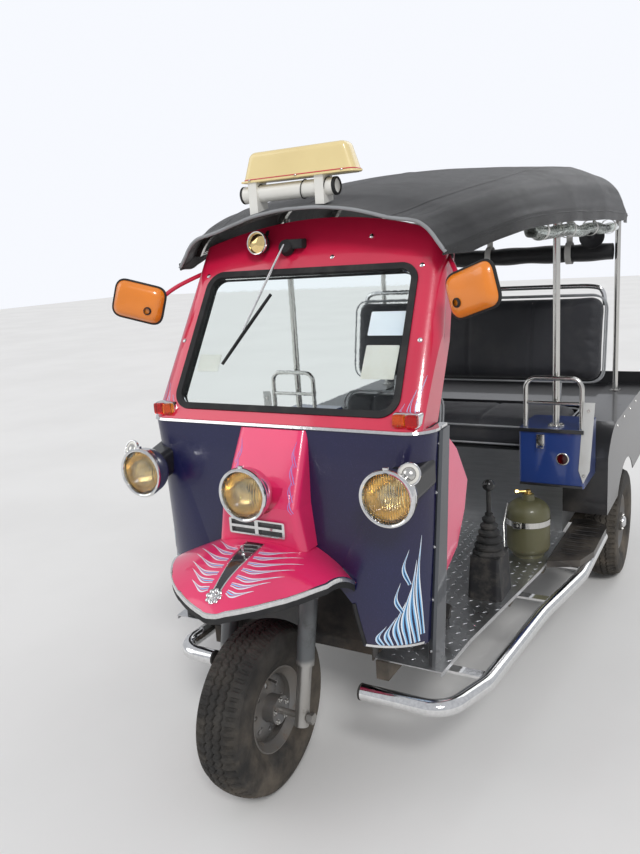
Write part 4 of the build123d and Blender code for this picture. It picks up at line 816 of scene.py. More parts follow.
class RICKSHAW_OT_tyres(PieceOperator):
    """Tyres with a zigzag tread, shoulder lugs and ringed side walls"""

    bl_idname = "rickshaw.tyres"
    bl_label = "Tyres"

    wheels = [
        ("front_tyre", "front_wheel"), ("rear_left_tyre", "rear_left_wheel"),
        ("rear_right_tyre", "rear_right_wheel"),
    ]
    pitches = 60
    tread_half = 0.056
    tread_columns = 46
    # Grooves round the tyre: their places across it and their half width
    groove_places = (-0.025, 0, 0.025)
    groove_half = 0.0016
    # Lugs stand beyond this distance from the middle
    lug_start = 0.035
    # Side wall from the bead out: share of the half width, radius
    wall = [
        (0.715, 0.1275), (0.8, 0.14), (0.9, 0.156), (0.915, 0.1575), (0.925, 0.161), (0.975, 0.178),
        (0.995, 0.195), (0.985, 0.212), (0.955, 0.224), (0.965, 0.2255), (0.955, 0.229), (0.885, 0.2385),
    ]

    def make(self):
        for node, body in self.wheels:
            self.tyre(node, body)

    def groove(self, across, turn):
        """1 at the bottom of a groove, 0 on the tread's skin."""
        phase = turn * self.pitches / (2 * pi)
        zigzag = 0.0035 * (abs(phase % 1 - 0.5) * 4 - 1)
        deep = 0
        for line in self.groove_places:
            beyond = abs(across - line - zigzag) - self.groove_half
            deep = max(deep, 1 - smooth_step(beyond / self.groove_half))
        if abs(across) > self.lug_start:
            slot = abs((phase + (0.5 if across > 0 else 0)) % 1 - 0.5)
            lug_gap = 1 - smooth_step((slot - 0.13) / 0.08)
            deep = max(deep, lug_gap * smooth_step((abs(across) - self.lug_start) / 0.003))
        sipe = abs((phase * 2 + across * 30) % 1 - 0.5)
        return max(deep, 0.35 * (1 - smooth_step((sipe - 0.05) / 0.07)))

    def crown(self, across):
        """Radius of the tread's skin, which falls to its shoulders."""
        share = across / self.tread_half
        radius = tyre_radius - 0.0002 - (tyre_radius - 0.2405) * share ** 2 * 0.75
        return radius - 0.0022 * smooth_step((abs(share) - 0.8) / 0.2)

    def tyre(self, node, body):
        low, high, centre = box_of(node)
        half = (high.x - low.x) / 2
        depth = sizes().tread_depth
        rows = []
        for turn in turns(self.pitches * 8):
            profile = [(-share * half, radius) for share, radius in self.wall]
            for column in range(self.tread_columns + 1):
                across = lerp(-self.tread_half, self.tread_half, column / self.tread_columns)
                profile.append((across, self.crown(across) - depth * self.groove(across, turn)))
            profile += [(share * half, radius) for share, radius in reversed(self.wall)]
            y, z = sin(turn), cos(turn)
            rows.append([centre + Vector((across, y * radius, z * radius)) for across, radius in profile])
        tyre = Shape()
        tyre.grid(rows, close_rows=True, close_columns=True)
        tyre.build(f"{node}_tread", "tyre", body, "tyre", angle=50, replaces=node)


class RICKSHAW_OT_wheel_fittings(PieceOperator):
    """Hub caps, wheel nuts and valves"""

    bl_idname = "rickshaw.wheel_fittings"
    bl_label = "Wheel fittings"

    # Rims: node, body, sides that show
    rims = [
        ("front_rim", "front_wheel", (1, -1)), ("rear_left_rim", "rear_left_wheel", (1,)),
        ("rear_right_rim", "rear_right_wheel", (-1,)),
    ]
    nut_circle = 0.034
    # Cap from its foot out: distance from the hub's face, radius
    cap_profile = [(-2, 26), (4, 26), (10, 24), (14, 18), (16, 0.2)]

    def make(self):
        for node, body, facings in self.rims:
            low, high, centre = box_of(node)
            skin = surface_of(node)
            shape = Shape()
            for facing in facings:
                outside = high.x + 0.001 if facing > 0 else low.x - 0.001
                self.nuts_and_cap(shape, skin, centre, outside, facing, body != "front_wheel")
            valve = centre + Vector((facings[0] * 0.02, 0, 0.094))
            shape.tube([valve, valve + Vector((facings[0] * 0.034, 0, -0.006))], 0.0035, 8, kind=2)
            shape.build(f"{node}_fittings", ["stainless", "chrome", "rubber"], body, "rim_paint")

    def nuts_and_cap(self, shape, skin, centre, outside, facing, capped):
        inward = (-facing, 0, 0)
        for turn in turns(5):
            y, z = sin(turn) * self.nut_circle, cos(turn) * self.nut_circle
            spot, _ = set_on(skin, (outside, centre.y + y, centre.z + z), inward)
            if spot is not None:
                shape.hex_bolt(spot, (facing, 0, 0), 11, 7)
        if capped:
            hub, _ = set_on(skin, (outside, centre.y, centre.z + 0.024), inward)
            shape.lathe(self.cap_profile, (hub.x, centre.y, centre.z), (facing, 0, 0), 32, 1)


# Roof cloth. Columns: metres behind the front axle, half width, edge, shoulder half width,
# shoulder height, crown height
canopy_sections = [
    (0.385, 0.47, 1.545, 0.3, 1.652, 1.702),
    (0.8, 0.6, 1.63, 0.44, 1.748, 1.79),
    (1.5, 0.66, 1.655, 0.5, 1.835, 1.87),
    (2.26, 0.665, 1.66, 0.52, 1.845, 1.877),
    (2.49, 0.645, 1.65, 0.5, 1.8, 1.832),
]
bow_places = (0.545, 1.267, 1.8, 2.35)
# The haunch between shoulder and crown: shares of the way across and up
haunch_across, haunch_rise = 0.52, 0.74
side_bulge = 0.16
# The cloth's inward direction points at this height over the middle
heart_height = 1.2
# How far the cloth falls below its sections everywhere, between bows, and in ripples and drag lines
cloth_drop, bow_sag, ripple_depth, drag_depth = 0.0028, 0.006, 0.0032, 0.0016


def canopy_row(distance):
    """The canopy section at any distance, smoothed between the table's rows."""
    rows = canopy_sections
    last = len(rows) - 1
    here = min(max(i for i, row in enumerate(rows) if row[0] <= distance + 1e-9), last - 1)
    low, high = rows[here], rows[here + 1]
    before, after = rows[max(here - 1, 0)], rows[min(here + 2, last)]
    span = high[0] - low[0]
    t = (distance - low[0]) / span
    blended = []
    for k in range(1, len(low)):
        slope_low = (high[k] - before[k]) / (high[0] - before[0])
        slope_high = (after[k] - low[k]) / (after[0] - low[0])
        blended.append(
            (2 * t**3 - 3 * t**2 + 1) * low[k] + (t**3 - 2 * t**2 + t) * span * slope_low
            + (3 * t**2 - 2 * t**3) * high[k] + (t**3 - t**2) * span * slope_high
        )
    return blended


def canopy_point(distance, around, drop=0):
    """Point on the roof: around runs from -1 at the right edge to 1 at the left one."""
    half, edge, shoulder, shoulder_z, crown = canopy_row(distance)
    bulge_x = (half + shoulder) / 2 + side_bulge * (shoulder_z - edge)
    bulge_z = (edge + shoulder_z) / 2 + side_bulge * (half - shoulder)
    haunch = (shoulder * haunch_across, lerp(shoulder_z, crown, haunch_rise))
    left = [haunch, (shoulder, shoulder_z), (bulge_x, bulge_z), (half, edge)]
    stations = [(-x, z) for x, z in reversed(left)] + [(0, crown)] + left
    spot = (around + 1) / 2 * (len(stations) - 1)
    i = min(int(spot), len(stations) - 2)
    flat = spline_point(stations, i, spot - i)
    flat = flat + Vector((-flat.x, heart_height - flat.y)).normalized() * drop
    return Vector((flat.x, aft(distance), flat.y))


def roof_sag(distance, around):
    """How far the cloth falls between its bows, with drag lines that run from bow to bow."""
    ends = [canopy_sections[0][0], *bow_places, canopy_sections[-1][0]]
    span = next((a, b) for a, b in zip(ends, ends[1:]) if distance <= b + 1e-6)
    share = (distance - span[0]) / (span[1] - span[0])
    free = sin(pi * min(max(share, 0), 1))
    sag = bow_sag * free * (0.6 if span[0] == ends[0] or span[1] == ends[-1] else 1)
    ripple = noise.noise(Vector((around * 9, distance * 1.4, 3.1))) * ripple_depth
    drag = noise.noise(Vector((around * 26, distance * 2.2, 8.4))) * drag_depth * (0.4 + abs(around))
    return sag + (ripple + drag) * (0.35 + 0.65 * free) + cloth_drop


class RICKSHAW_OT_canopy(PieceOperator):
    """Stretched roof cloth with seams, a hem and grey piping round the visor"""

    bl_idname = "rickshaw.canopy"
    bl_label = "Canopy"

    lengthwise = 120
    crosswise = 128
    # A seam's section: shift round the roof, rise over the cloth
    seam_section = [(-0.01, 0.0002), (-0.006, 0.0016), (0.006, 0.0016), (0.01, 0.0002)]
    # The hem is narrow at the front and has its full width this far behind it
    hem_taper = 0.14

    def make(self):
        first, last = canopy_sections[0][0], canopy_sections[-1][0]
        distances = [lerp(first, last, i / self.lengthwise) for i in range(self.lengthwise + 1)]
        arounds = [lerp(-1, 1, j / self.crosswise) for j in range(self.crosswise + 1)]
        outer = [self.cloth_row(d, arounds, 0) for d in distances]
        inner = [self.cloth_row(d, arounds, 0.0022) for d in distances]
        cloth = Shape()
        cloth.grid(outer)
        cloth.grid([list(reversed(row)) for row in inner])
        for end in (0, -1):
            cloth.grid([outer[end], inner[end]])
        for edge in (0, -1):
            cloth.grid([[row[edge] for row in outer], [row[edge] for row in inner]])
        sheet = cloth.build("canopy_cloth", "canopy_vinyl", slot="canopy_vinyl", angle=60, replaces="canopy")
        self.flat_size(outer)
        self.seams(distances)
        self.hem(distances, arounds)

    def cloth_row(self, distance, arounds, drop):
        return [canopy_point(distance, a, roof_sag(distance, a) + drop) for a in arounds]

    def flat_size(self, rows):
        """Width across the middle, and the length that gives the cloth's area."""
        middle = rows[len(rows) // 2]
        width = sum((b - a).length for a, b in zip(middle, middle[1:]))
        area = 0
        for low, high in zip(rows, rows[1:]):
            for a, b, c, d in zip(low, low[1:], high, high[1:]):
                area += ((b - a).cross(c - a).length + (d - b).cross(d - c).length) / 2
        return (width, area / width)

    def seams(self, distances):
        seams = Shape()
        for place in (-0.5, 0, 0.5):
            around = [(place + shift, rise) for shift, rise in self.seam_section]
            seams.grid([[canopy_point(d, a, roof_sag(d, a) - rise) for a, rise in around] for d in distances])
        seams.build("canopy_seams", "canopy_vinyl", slot="canopy_vinyl")

    def hem(self, distances, arounds):
        piping = Shape()
        ends = [(distances[0], 0.004, 0.0055, 0), (distances[-1], -0.004, 0.0045, 1)]
        for distance, inward, radius, kind in ends:
            edge = [spot + Vector((0, inward, -0.002)) for spot in self.cloth_row(distance, arounds, 0.001)]
            piping.tube(edge, radius, 10, kind=kind)
        for side in (-1, 1):
            rows = [self.hem_row(d, d - distances[0], side) for d in distances]
            piping.grid(rows, kind=1)
            piping.tube([row[2] + Vector((-side * 0.0015, 0, 0)) for row in rows], 0.0035, 8, kind=1)
        piping.build("canopy_hem", ["grey_piping", "canopy_vinyl"], slot="canopy_vinyl")

    def hem_row(self, distance, behind, side):
        """Section of the hem that hangs from the roof's side edge, with a slight wave along it."""
        wide = sizes().canopy_hem * lerp(0.25, 1, smooth_step(behind / self.hem_taper))
        top = canopy_point(distance, side, roof_sag(distance, side))
        wave = 0.003 * sin(distance * 24) + 0.0025 * noise.noise(Vector((distance * 9, side, 0)))
        inner = Vector((-side * (0.004 + wave), 0, 0))
        return [
            top + Vector((0, 0, 0.012)) + inner * 0.2,
            top + inner * 0.4,
            top + inner + Vector((0, 0, -wide)),
            top + inner * 1.3 + Vector((-side * 0.003, 0, -wide)),
            top + inner * 0.6 + Vector((-side * 0.004, 0, 0)),
        ]


def rolled_sheet(name, material, slot, start, end, radii, turns, sag=0, lumps=0.004):
    """A curtain rolled up along a line: one spiral sheet, with the size of its cloth."""
    start, end = Vector(start), Vector(end)
    along = (end - start).normalized()
    up = Vector((0, 0, 1))
    side = along.cross(up).normalized()
    lengthwise, around = 60, int(turns * 26)
    rows = []
    for i in range(lengthwise + 1):
        t = i / lengthwise
        centre = start.lerp(end, t) - up * sag * sin(pi * t * 3) ** 2
        row = []
        for s in range(around + 1):
            turn = 2 * pi * turns * s / around
            radius = lerp(*radii, s / around)
            radius += lumps * noise.noise(Vector((t * 7, turn * 0.9, radii[1] * 40)))
            flat = 0.9 + 0.1 * sin(pi * t * 6) ** 2
            row.append(centre + side * cos(turn) * radius + up * sin(turn) * radius * flat)
        rows.append(row)
    sheet = Shape()
    sheet.grid(rows)
    made = sheet.build(name, material, slot=slot, angle=80)
    area = sum(p.area for p in made.data.polygons)
    length = (end - start).length
    return made, (length, area / length)


class RICKSHAW_OT_curtains(PieceOperator):
    """The black rear curtain and the clear side curtains, rolled up and strapped"""

    bl_idname = "rickshaw.curtains"
    bl_label = "Curtains"

    # Clear curtains: ends as distance, way in and way down from the roof's edge
    clear_ends = [(0.9, 0.044, 0.052), (2.24, 0.05, 0.06)]
    band_thickness = 0.0015

    def make(self):
        straps = Shape()
        self.rear_curtain(straps)
        for side, name in ((-1, "clear_curtain_right"), (1, "clear_curtain_left")):
            self.clear_curtain(straps, side, name)
        straps.build("curtain_straps", ["webbing"], slot="curtain_vinyl")

    def rear_curtain(self, straps):
        low, high, centre = box_of("rear_curtain_roll")
        radius = (high.z - low.z) / 2 - 0.006
        start, end = [(x, centre.y, centre.z) for x in (low.x + 0.006, high.x - 0.006)]
        rear, flat = rolled_sheet(
            "rear_curtain", "curtain_vinyl", "curtain_vinyl", start, end, (0.018, radius),
            4,
        )
        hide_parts("rear_curtain_roll")
        for x in (-0.4, 0, 0.4):
            spot = Vector((x, centre.y, centre.z))
            across = Vector((1, 0, 0))
            self.strap(straps, spot, across, radius + 0.004, 0.03, 1.8)

    def clear_curtain(self, straps, side, name):
        start, end = [
            canopy_point(distance, side) + Vector((-side * inward, 0, -down))
            for distance, inward, down in self.clear_ends
        ]
        roll, flat = rolled_sheet(
            name, "curtain_film", None, start, end, (0.008, 0.026), 3, sag=0.008, lumps=0.006
        )
        along = (end - start).normalized()
        for share in (0.08, 0.36, 0.64, 0.92):
            distance = lerp(self.clear_ends[0][0], self.clear_ends[1][0], share)
            top = canopy_point(distance, side * 0.98).z - 0.012
            spot = start.lerp(end, share)
            self.strap(straps, spot, along, 0.031, 0.02, top)

    def strap(self, shape, centre, along, radius, width, top):
        """Flat band round a roll, with its tail up to the roof."""
        up = Vector((0, 0, 1))
        side = along.cross(up).normalized()
        half = along * (width / 2)
        outer = radius + self.band_thickness
        rows = []
        for turn in [*turns(32), 2 * pi]:
            out = side * cos(turn) + up * sin(turn)
            left, right = centre - half, centre + half
            rows.append([left + out * radius, right + out * radius, right + out * outer, left + out * outer])
        shape.grid(rows, close_columns=True)
        foot = centre + up * radius
        head = Vector((foot.x, foot.y, top))
        if head.z > foot.z:
            behind = side * self.band_thickness
            shape.grid([[end - half, end + half] for end in (foot, head)])
            shape.grid([[end + half + behind, end - half + behind] for end in (foot, head)])


# Settings of the cloth that presses the pads out, and the steps that it runs
pad_cloth = {
    "quality": 4, "use_pressure": True, "uniform_pressure_force": 4, "tension_stiffness": 8,
    "compression_stiffness": 8, "bending_stiffness": 0.8,
}
pad_steps = 20


def puffed(name, verts, faces, voxel, swell, material):
    """Padded cover: the shape is remeshed and blown up as cloth, with its swelling capped."""
    mesh = bpy.data.meshes.new(name)
    mesh.from_pydata(verts, [], faces)
    mesh.update()
    pad = bpy.data.objects.new(name, mesh)
    bpy.context.scene.collection.objects.link(pad)
    remesh = pad.modifiers.new("remesh", "REMESH")
    remesh.mode = "VOXEL"
    remesh.voxel_size = voxel
    graph = bpy.context.evaluated_depsgraph_get()
    solid = bpy.data.meshes.new_from_object(pad.evaluated_get(graph))
    pad.modifiers.clear()
    pad.data = solid
    press_out(pad, solid, swell)
    solid.materials.clear()
    solid.materials.append(finishes[material])
    solid.polygons.foreach_set("use_smooth", [True] * len(solid.polygons))
    return pad


def press_out(pad, solid, swell):
    """Runs the cloth and moves each vertex by what it gave, up to swell."""
    cloth = pad.modifiers.new("cloth", "CLOTH")
    for name, setting in pad_cloth.items():
        setattr(cloth.settings, name, setting)
    cloth.settings.effector_weights.gravity = 0
    cloth.point_cache.frame_end = pad_steps
    for step in range(1, pad_steps + 1):
        bpy.context.scene.frame_set(step)
    graph = bpy.context.evaluated_depsgraph_get()
    blown = bpy.data.meshes.new_from_object(pad.evaluated_get(graph))
    for vertex, blown_vertex in zip(solid.vertices, blown.vertices):
        moved = blown_vertex.co - vertex.co
        if moved.length > swell:
            moved *= swell / moved.length
        vertex.co = vertex.co + moved
    pad.modifiers.clear()
    bpy.context.scene.frame_set(1)


def pillow_shape(size, corner, edge, pull, place, steps=9):
    """Closed block with round corners, its sides pulled in between the corners."""
    width, height, depth = size
    outline = rounded(rectangle(width, height), corner, steps)
    near, far = edge * 0.3, depth - edge * 0.3
    rows = []
    for inset, level in ((edge, 0), (near, near), (0, edge), (0, depth - edge), (near, far), (edge, depth)):
        row = []
        for x, y in outline:
            bow = pull * (1 - (2 * x / width) ** 2) * (1 if abs(y) > height / 2 - corner else 0)
            scale_x, scale_y = (width - 2 * inset) / width, (height - 2 * inset - 2 * bow) / height
            row.append(place(x * scale_x, y * scale_y, level))
        rows.append(row)
    shape = Shape()
    shape.grid(rows, close_columns=True)
    shape.cap_ends(rows)
    return shape.verts, shape.faces


class RICKSHAW_OT_seats(PieceOperator):
    """Padded seats in vinyl: bench, bench back and the driver's two pads"""

    bl_idname = "rickshaw.seats"
    bl_label = "Seats"

    lean = radians(10)
    # The backs' feet: distance, height
    bench_back_foot = (2.01, 0.872)
    driver_back_foot = (0.64 + 0.34 + 0.032, 0.72)
    driver_seat_distance = 0.64 + 0.17 - 0.01
    # Crown of a pad, depth and half width of its sewn channels, heights of its creases
    crown_rise = 0.008
    channel_depth, channel_half = 0.007, 0.008
    crease_rises = (0.0016, 0.0006)
    stitch_pitch, stitch_length, stitch_radius = 0.012, 0.007, 0.0009

    def make(self):
        low, high, centre = box_of("bench_cushion")
        size = high - low
        self.pad(
            "bench_seat", "bench_cushion", (size.x - 0.03, size.y - 0.03, size.z - 0.018), 0.05, 0.03,
            lambda x, y, d: Vector((centre.x + x, centre.y + y, low.z + d)),
            channels=[-0.19, 0.19], voxel=0.009, swell=0.014, fill=0.7,
        )
        back_low, back_high, _ = box_of("bench_backrest")
        self.pad(
            "bench_back", "bench_backrest", (back_high.x - back_low.x - 0.028, 0.402, 0.08), 0.07, 0.028,
            self.leaning(self.bench_back_foot, 0.225),
            channels=[-0.3, 0, 0.3], voxel=0.009, swell=0.014, fill=0.7,
        )
        seat_y, seat_z = aft(self.driver_seat_distance), box_of("driver_seat_pads")[0].z
        self.pad(
            "driver_seat", "driver_seat_pads", (0.424, 0.344, 0.08), 0.06, 0.026,
            lambda x, y, d: Vector((x, seat_y + y, seat_z + d)),
            channels=[-0.07, 0.07], voxel=0.007, swell=0.012, fill=0.6,
        )
        self.pad(
            "driver_back", "driver_seat_pads", (0.404, 0.274, 0.05), 0.06, 0.018,
            self.leaning(self.driver_back_foot, 0.16),
            channels=[-0.07, 0.07], voxel=0.007, swell=0.01, fill=0.6,
        )

    def leaning(self, foot, middle):
        """Places on a back that leans: x across, y up it from its middle, d out of it."""
        distance, height = foot
        root = Vector((0, aft(distance), height))
        upward = Vector((0, sin(self.lean), cos(self.lean)))
        forward = Vector((0, -cos(self.lean), sin(self.lean)))
        return lambda x, y, d: root + Vector((x, 0, 0)) + upward * (y + middle) + forward * d

    def pad(self, name, node, size, corner, edge, place, channels, voxel, swell, fill):
        verts, faces = pillow_shape(size, corner, edge, 0.006, place)
        cushion = puffed(name, verts, faces, voxel, swell, "seat_vinyl")
        self.crown(cushion, size, place, channels)
        smoother = cushion.modifiers.new("smoother", "SUBSURF")
        smoother.levels = 1
        smoother.render_levels = 1
        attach(cushion, "vehicle")
        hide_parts(node)
        self.piping(name, size, corner, edge, place, channels)

    def crown_at(self, size, x, y):
        return (1 - (2 * x / size[0]) ** 2) * (1 - (2 * y / size[1]) ** 2)

    def crown(self, cushion, size, place, channels):
        """Raises the pad's middle, sinks its channels and adds creases; nothing goes below its base."""
        origin = place(0, 0, 0)
        ahead, across, upward = place(0, 0, 1) - origin, place(1, 0, 0) - origin, place(0, 1, 0) - origin
        for vertex in cushion.data.vertices:
            offset = vertex.co - origin
            x, y, d = offset.dot(across), offset.dot(upward), offset.dot(ahead)
            top = smooth_step((d / size[2] - 0.55) / 0.4)
            sunk = sum(exp(-(((x - line) / self.channel_half) ** 2)) for line in channels)
            crease = noise.noise(Vector((x * 16, y * 16, 2))) * self.crease_rises[0]
            crease += noise.noise(Vector((x * 42, y * 42, 5))) * self.crease_rises[1]
            crown = self.crown_rise * max(self.crown_at(size, x, y), 0)
            vertex.co += ahead * top * (crown - self.channel_depth * sunk + crease)
            if d < 0:
                vertex.co -= ahead * (d - 0.0004)

    def piping(self, name, size, corner, edge, place, channels):
        """Piping round both edges, and a row of stitches in each channel."""
        piping = Shape()
        outline = rounded(rectangle(size[0] + 0.004, size[1] - 0.002), corner, 10)
        for level in (edge * 0.5 + 0.004, size[2] - edge * 0.35):
            piping.tube([place(x, y, level) for x, y in outline], sizes().piping, 8, closed=True)
        stitches = int(size[1] * 0.8 / self.stitch_pitch)
        for line in channels:
            for s in range(stitches):
                y = lerp(-size[1] * 0.4, size[1] * 0.4, s / (stitches - 1))
                d = size[2] + self.crown_rise * self.crown_at(size, line, y) - 0.0062
                ends = [place(line, y, d), place(line, y + self.stitch_length, d)]
                piping.tube(ends, self.stitch_radius, 5, kind=1)
        piping.build(f"{name}_piping", ["grey_piping", "webbing"], slot="seat_vinyl")


class RICKSHAW_OT_fender_trim(PieceOperator):
    """Bright lip, rubber edge, dark centre strip, flames and ornament on the fender"""

    bl_idname = "rickshaw.fender_trim"
    bl_label = "Fender trim"

    # The edge is felt for in plan, from all round towards this distance behind the front axle
    edge_centre = 0.165
    edge_steps = 44
    edge_stride = 0.004
    # Flame tongues beside the strip: foot, bend and tip as x and distance, then width
    licks = [
        ((30, -160), (58, -163), (104, -138), 20),
        ((30, -138), (72, -136), (132, -98), 19),
        ((31, -112), (80, -112), (156, -66), 20),
        ((32, -86), (82, -82), (168, -30), 19),
        ((34, -60), (84, -52), (176, 4), 19),
        ((36, -34), (80, -24), (160, 30), 18),
        ((38, -10), (76, 0), (138, 46), 16),
    ]
    # The strip's ends at the cowl and at the tip, as distances
    strip_ends = (0.034, -0.178)
    strip_steps = 26
    pin_profile = [(0, 6.5), (3, 5.5), (5, 3.6), (22, 3.2), (24, 5), (28, 5.2), (31, 0.1)]
    boss_profile = [(-2, 13), (4, 12.5), (7, 9), (9.5, 8.5), (11, 5), (12, 0.1)]
    petal_profile = [(-1.5, 7.4), (3.5, 6.6), (5.5, 3.8), (6.2, 0.1)]

    def make(self):
        skin = surface_of("front_fender")
        self.lip(skin)
        self.strip(skin)
        flames = Shape()
        licks_on(flames, skin, from_above, self.licks, [(1, 0.0004, 0), (0.6, 0.0007, 1), (0.26, 0.001, 2)])
        flames.build("fender_flames", ["flame_white", "pink_paint", "flame_blue"], slot="pink_paint")

    def edge_line(self, skin):
        """The fender's edge from its left rear corner round the tip to the right one."""
        line = []
        for step in range(-self.edge_steps, self.edge_steps + 1):
            turn = radians(88) * step / self.edge_steps
            place = self.edge_at(skin, sin(turn), -cos(turn))
            if place is not None:
                line.append(place)
        return line

    def edge_at(self, skin, x_share, y_share):
        """Outermost point of the skin along one direction in plan."""
        outside, nearest = 0.45, 0.2
        inside = None
        while outside > nearest and inside is None:
            if self.over(skin, outside - self.edge_stride, x_share, y_share) is not None:
                inside = outside - self.edge_stride
            else:
                outside -= self.edge_stride
        if inside is None:
            return None
        for halving in range(8):
            middle = (inside + outside) / 2
            if self.over(skin, middle, x_share, y_share) is None:
                outside = middle
            else:
                inside = middle
        return self.over(skin, inside, x_share, y_share)

    def over(self, skin, reach, x_share, y_share):
        return set_on(skin, *from_above(x_share * reach, self.edge_centre + y_share * reach))[0]

    def lip(self, skin):
        line = self.edge_line(skin)
        wide = sizes().lip_strip
        # Sections as reach outwards and drop below the edge
        bright = [
            (-0.007, -0.0012), (-0.001, -0.0022), (0.0028, -0.0004), (0.004, 0.004), (0.0034, wide),
            (0.0004, wide + 0.001), (-0.0004, 0.0008), (-0.007, 0.0005),
        ]
        soft = [
            (0.0002, wide * 0.7), (0.003, wide + 0.001), (0.0024, wide + 0.016), (-0.0016, wide + 0.019),
            (-0.0052, wide + 0.015), (-0.0052, wide * 0.7),
        ]
        down = Vector((0, 0, -1))
        bright_rows, soft_rows = [], []
        for i, spot in enumerate(line):
            along = (line[min(i + 1, len(line) - 1)] - line[max(i - 1, 0)]).normalized()
            out = Vector((along.y, -along.x, 0)).normalized()
            if out.dot(Vector((spot.x, spot.y - aft(self.edge_centre), 0))) < 0:
                out = -out
            bright_rows.append([spot + out * a + down * b for a, b in bright])
            soft_rows.append([spot + out * a + down * b for a, b in soft])
        trim = Shape()
        trim.grid(bright_rows, close_columns=True)
        trim.grid(soft_rows, 1, close_columns=True)
        trim.build("fender_lip", ["chrome", "rubber"], slot="chrome")

    def strip(self, skin):
        strip = Shape()
        shares = [t / self.strip_steps for t in range(self.strip_steps + 1)]
        places = [lerp(*self.strip_ends, share) for share in shares]
        halves = [lerp(0.03, 0.011, smooth_step(share)) for share in shares]
        line = [(0, y) for y in places]
        ribbon_on(strip, skin, from_above, line, [2 * half for half in halves], 0.0012, 0, 8)
        for side in (-1, 1):
            edge = [(side * half, y) for y, half in zip(places, halves)]
            strip.tube(line_on(skin, from_above, edge, 0.0014), 0.0018, 8, kind=1)
        pin, _ = set_on(skin, *from_above(0, -0.03))
        strip.lathe(self.pin_profile, pin, (0, -0.15, 1), 20, 1)
        boss, facing = set_on(skin, *from_above(0, self.strip_ends[1]))
        strip.lathe(self.boss_profile, boss, facing, 32, 1)
        across = Vector((1, 0, 0))
        upward = facing.cross(across).normalized()
        for turn in turns(8):
            out = across * cos(turn) + upward * sin(turn)
            strip.lathe(self.petal_profile, boss + out * 0.0185, facing, 16, 1)
        strip.build("fender_strip", ["black_gloss", "chrome"], slot="chrome")


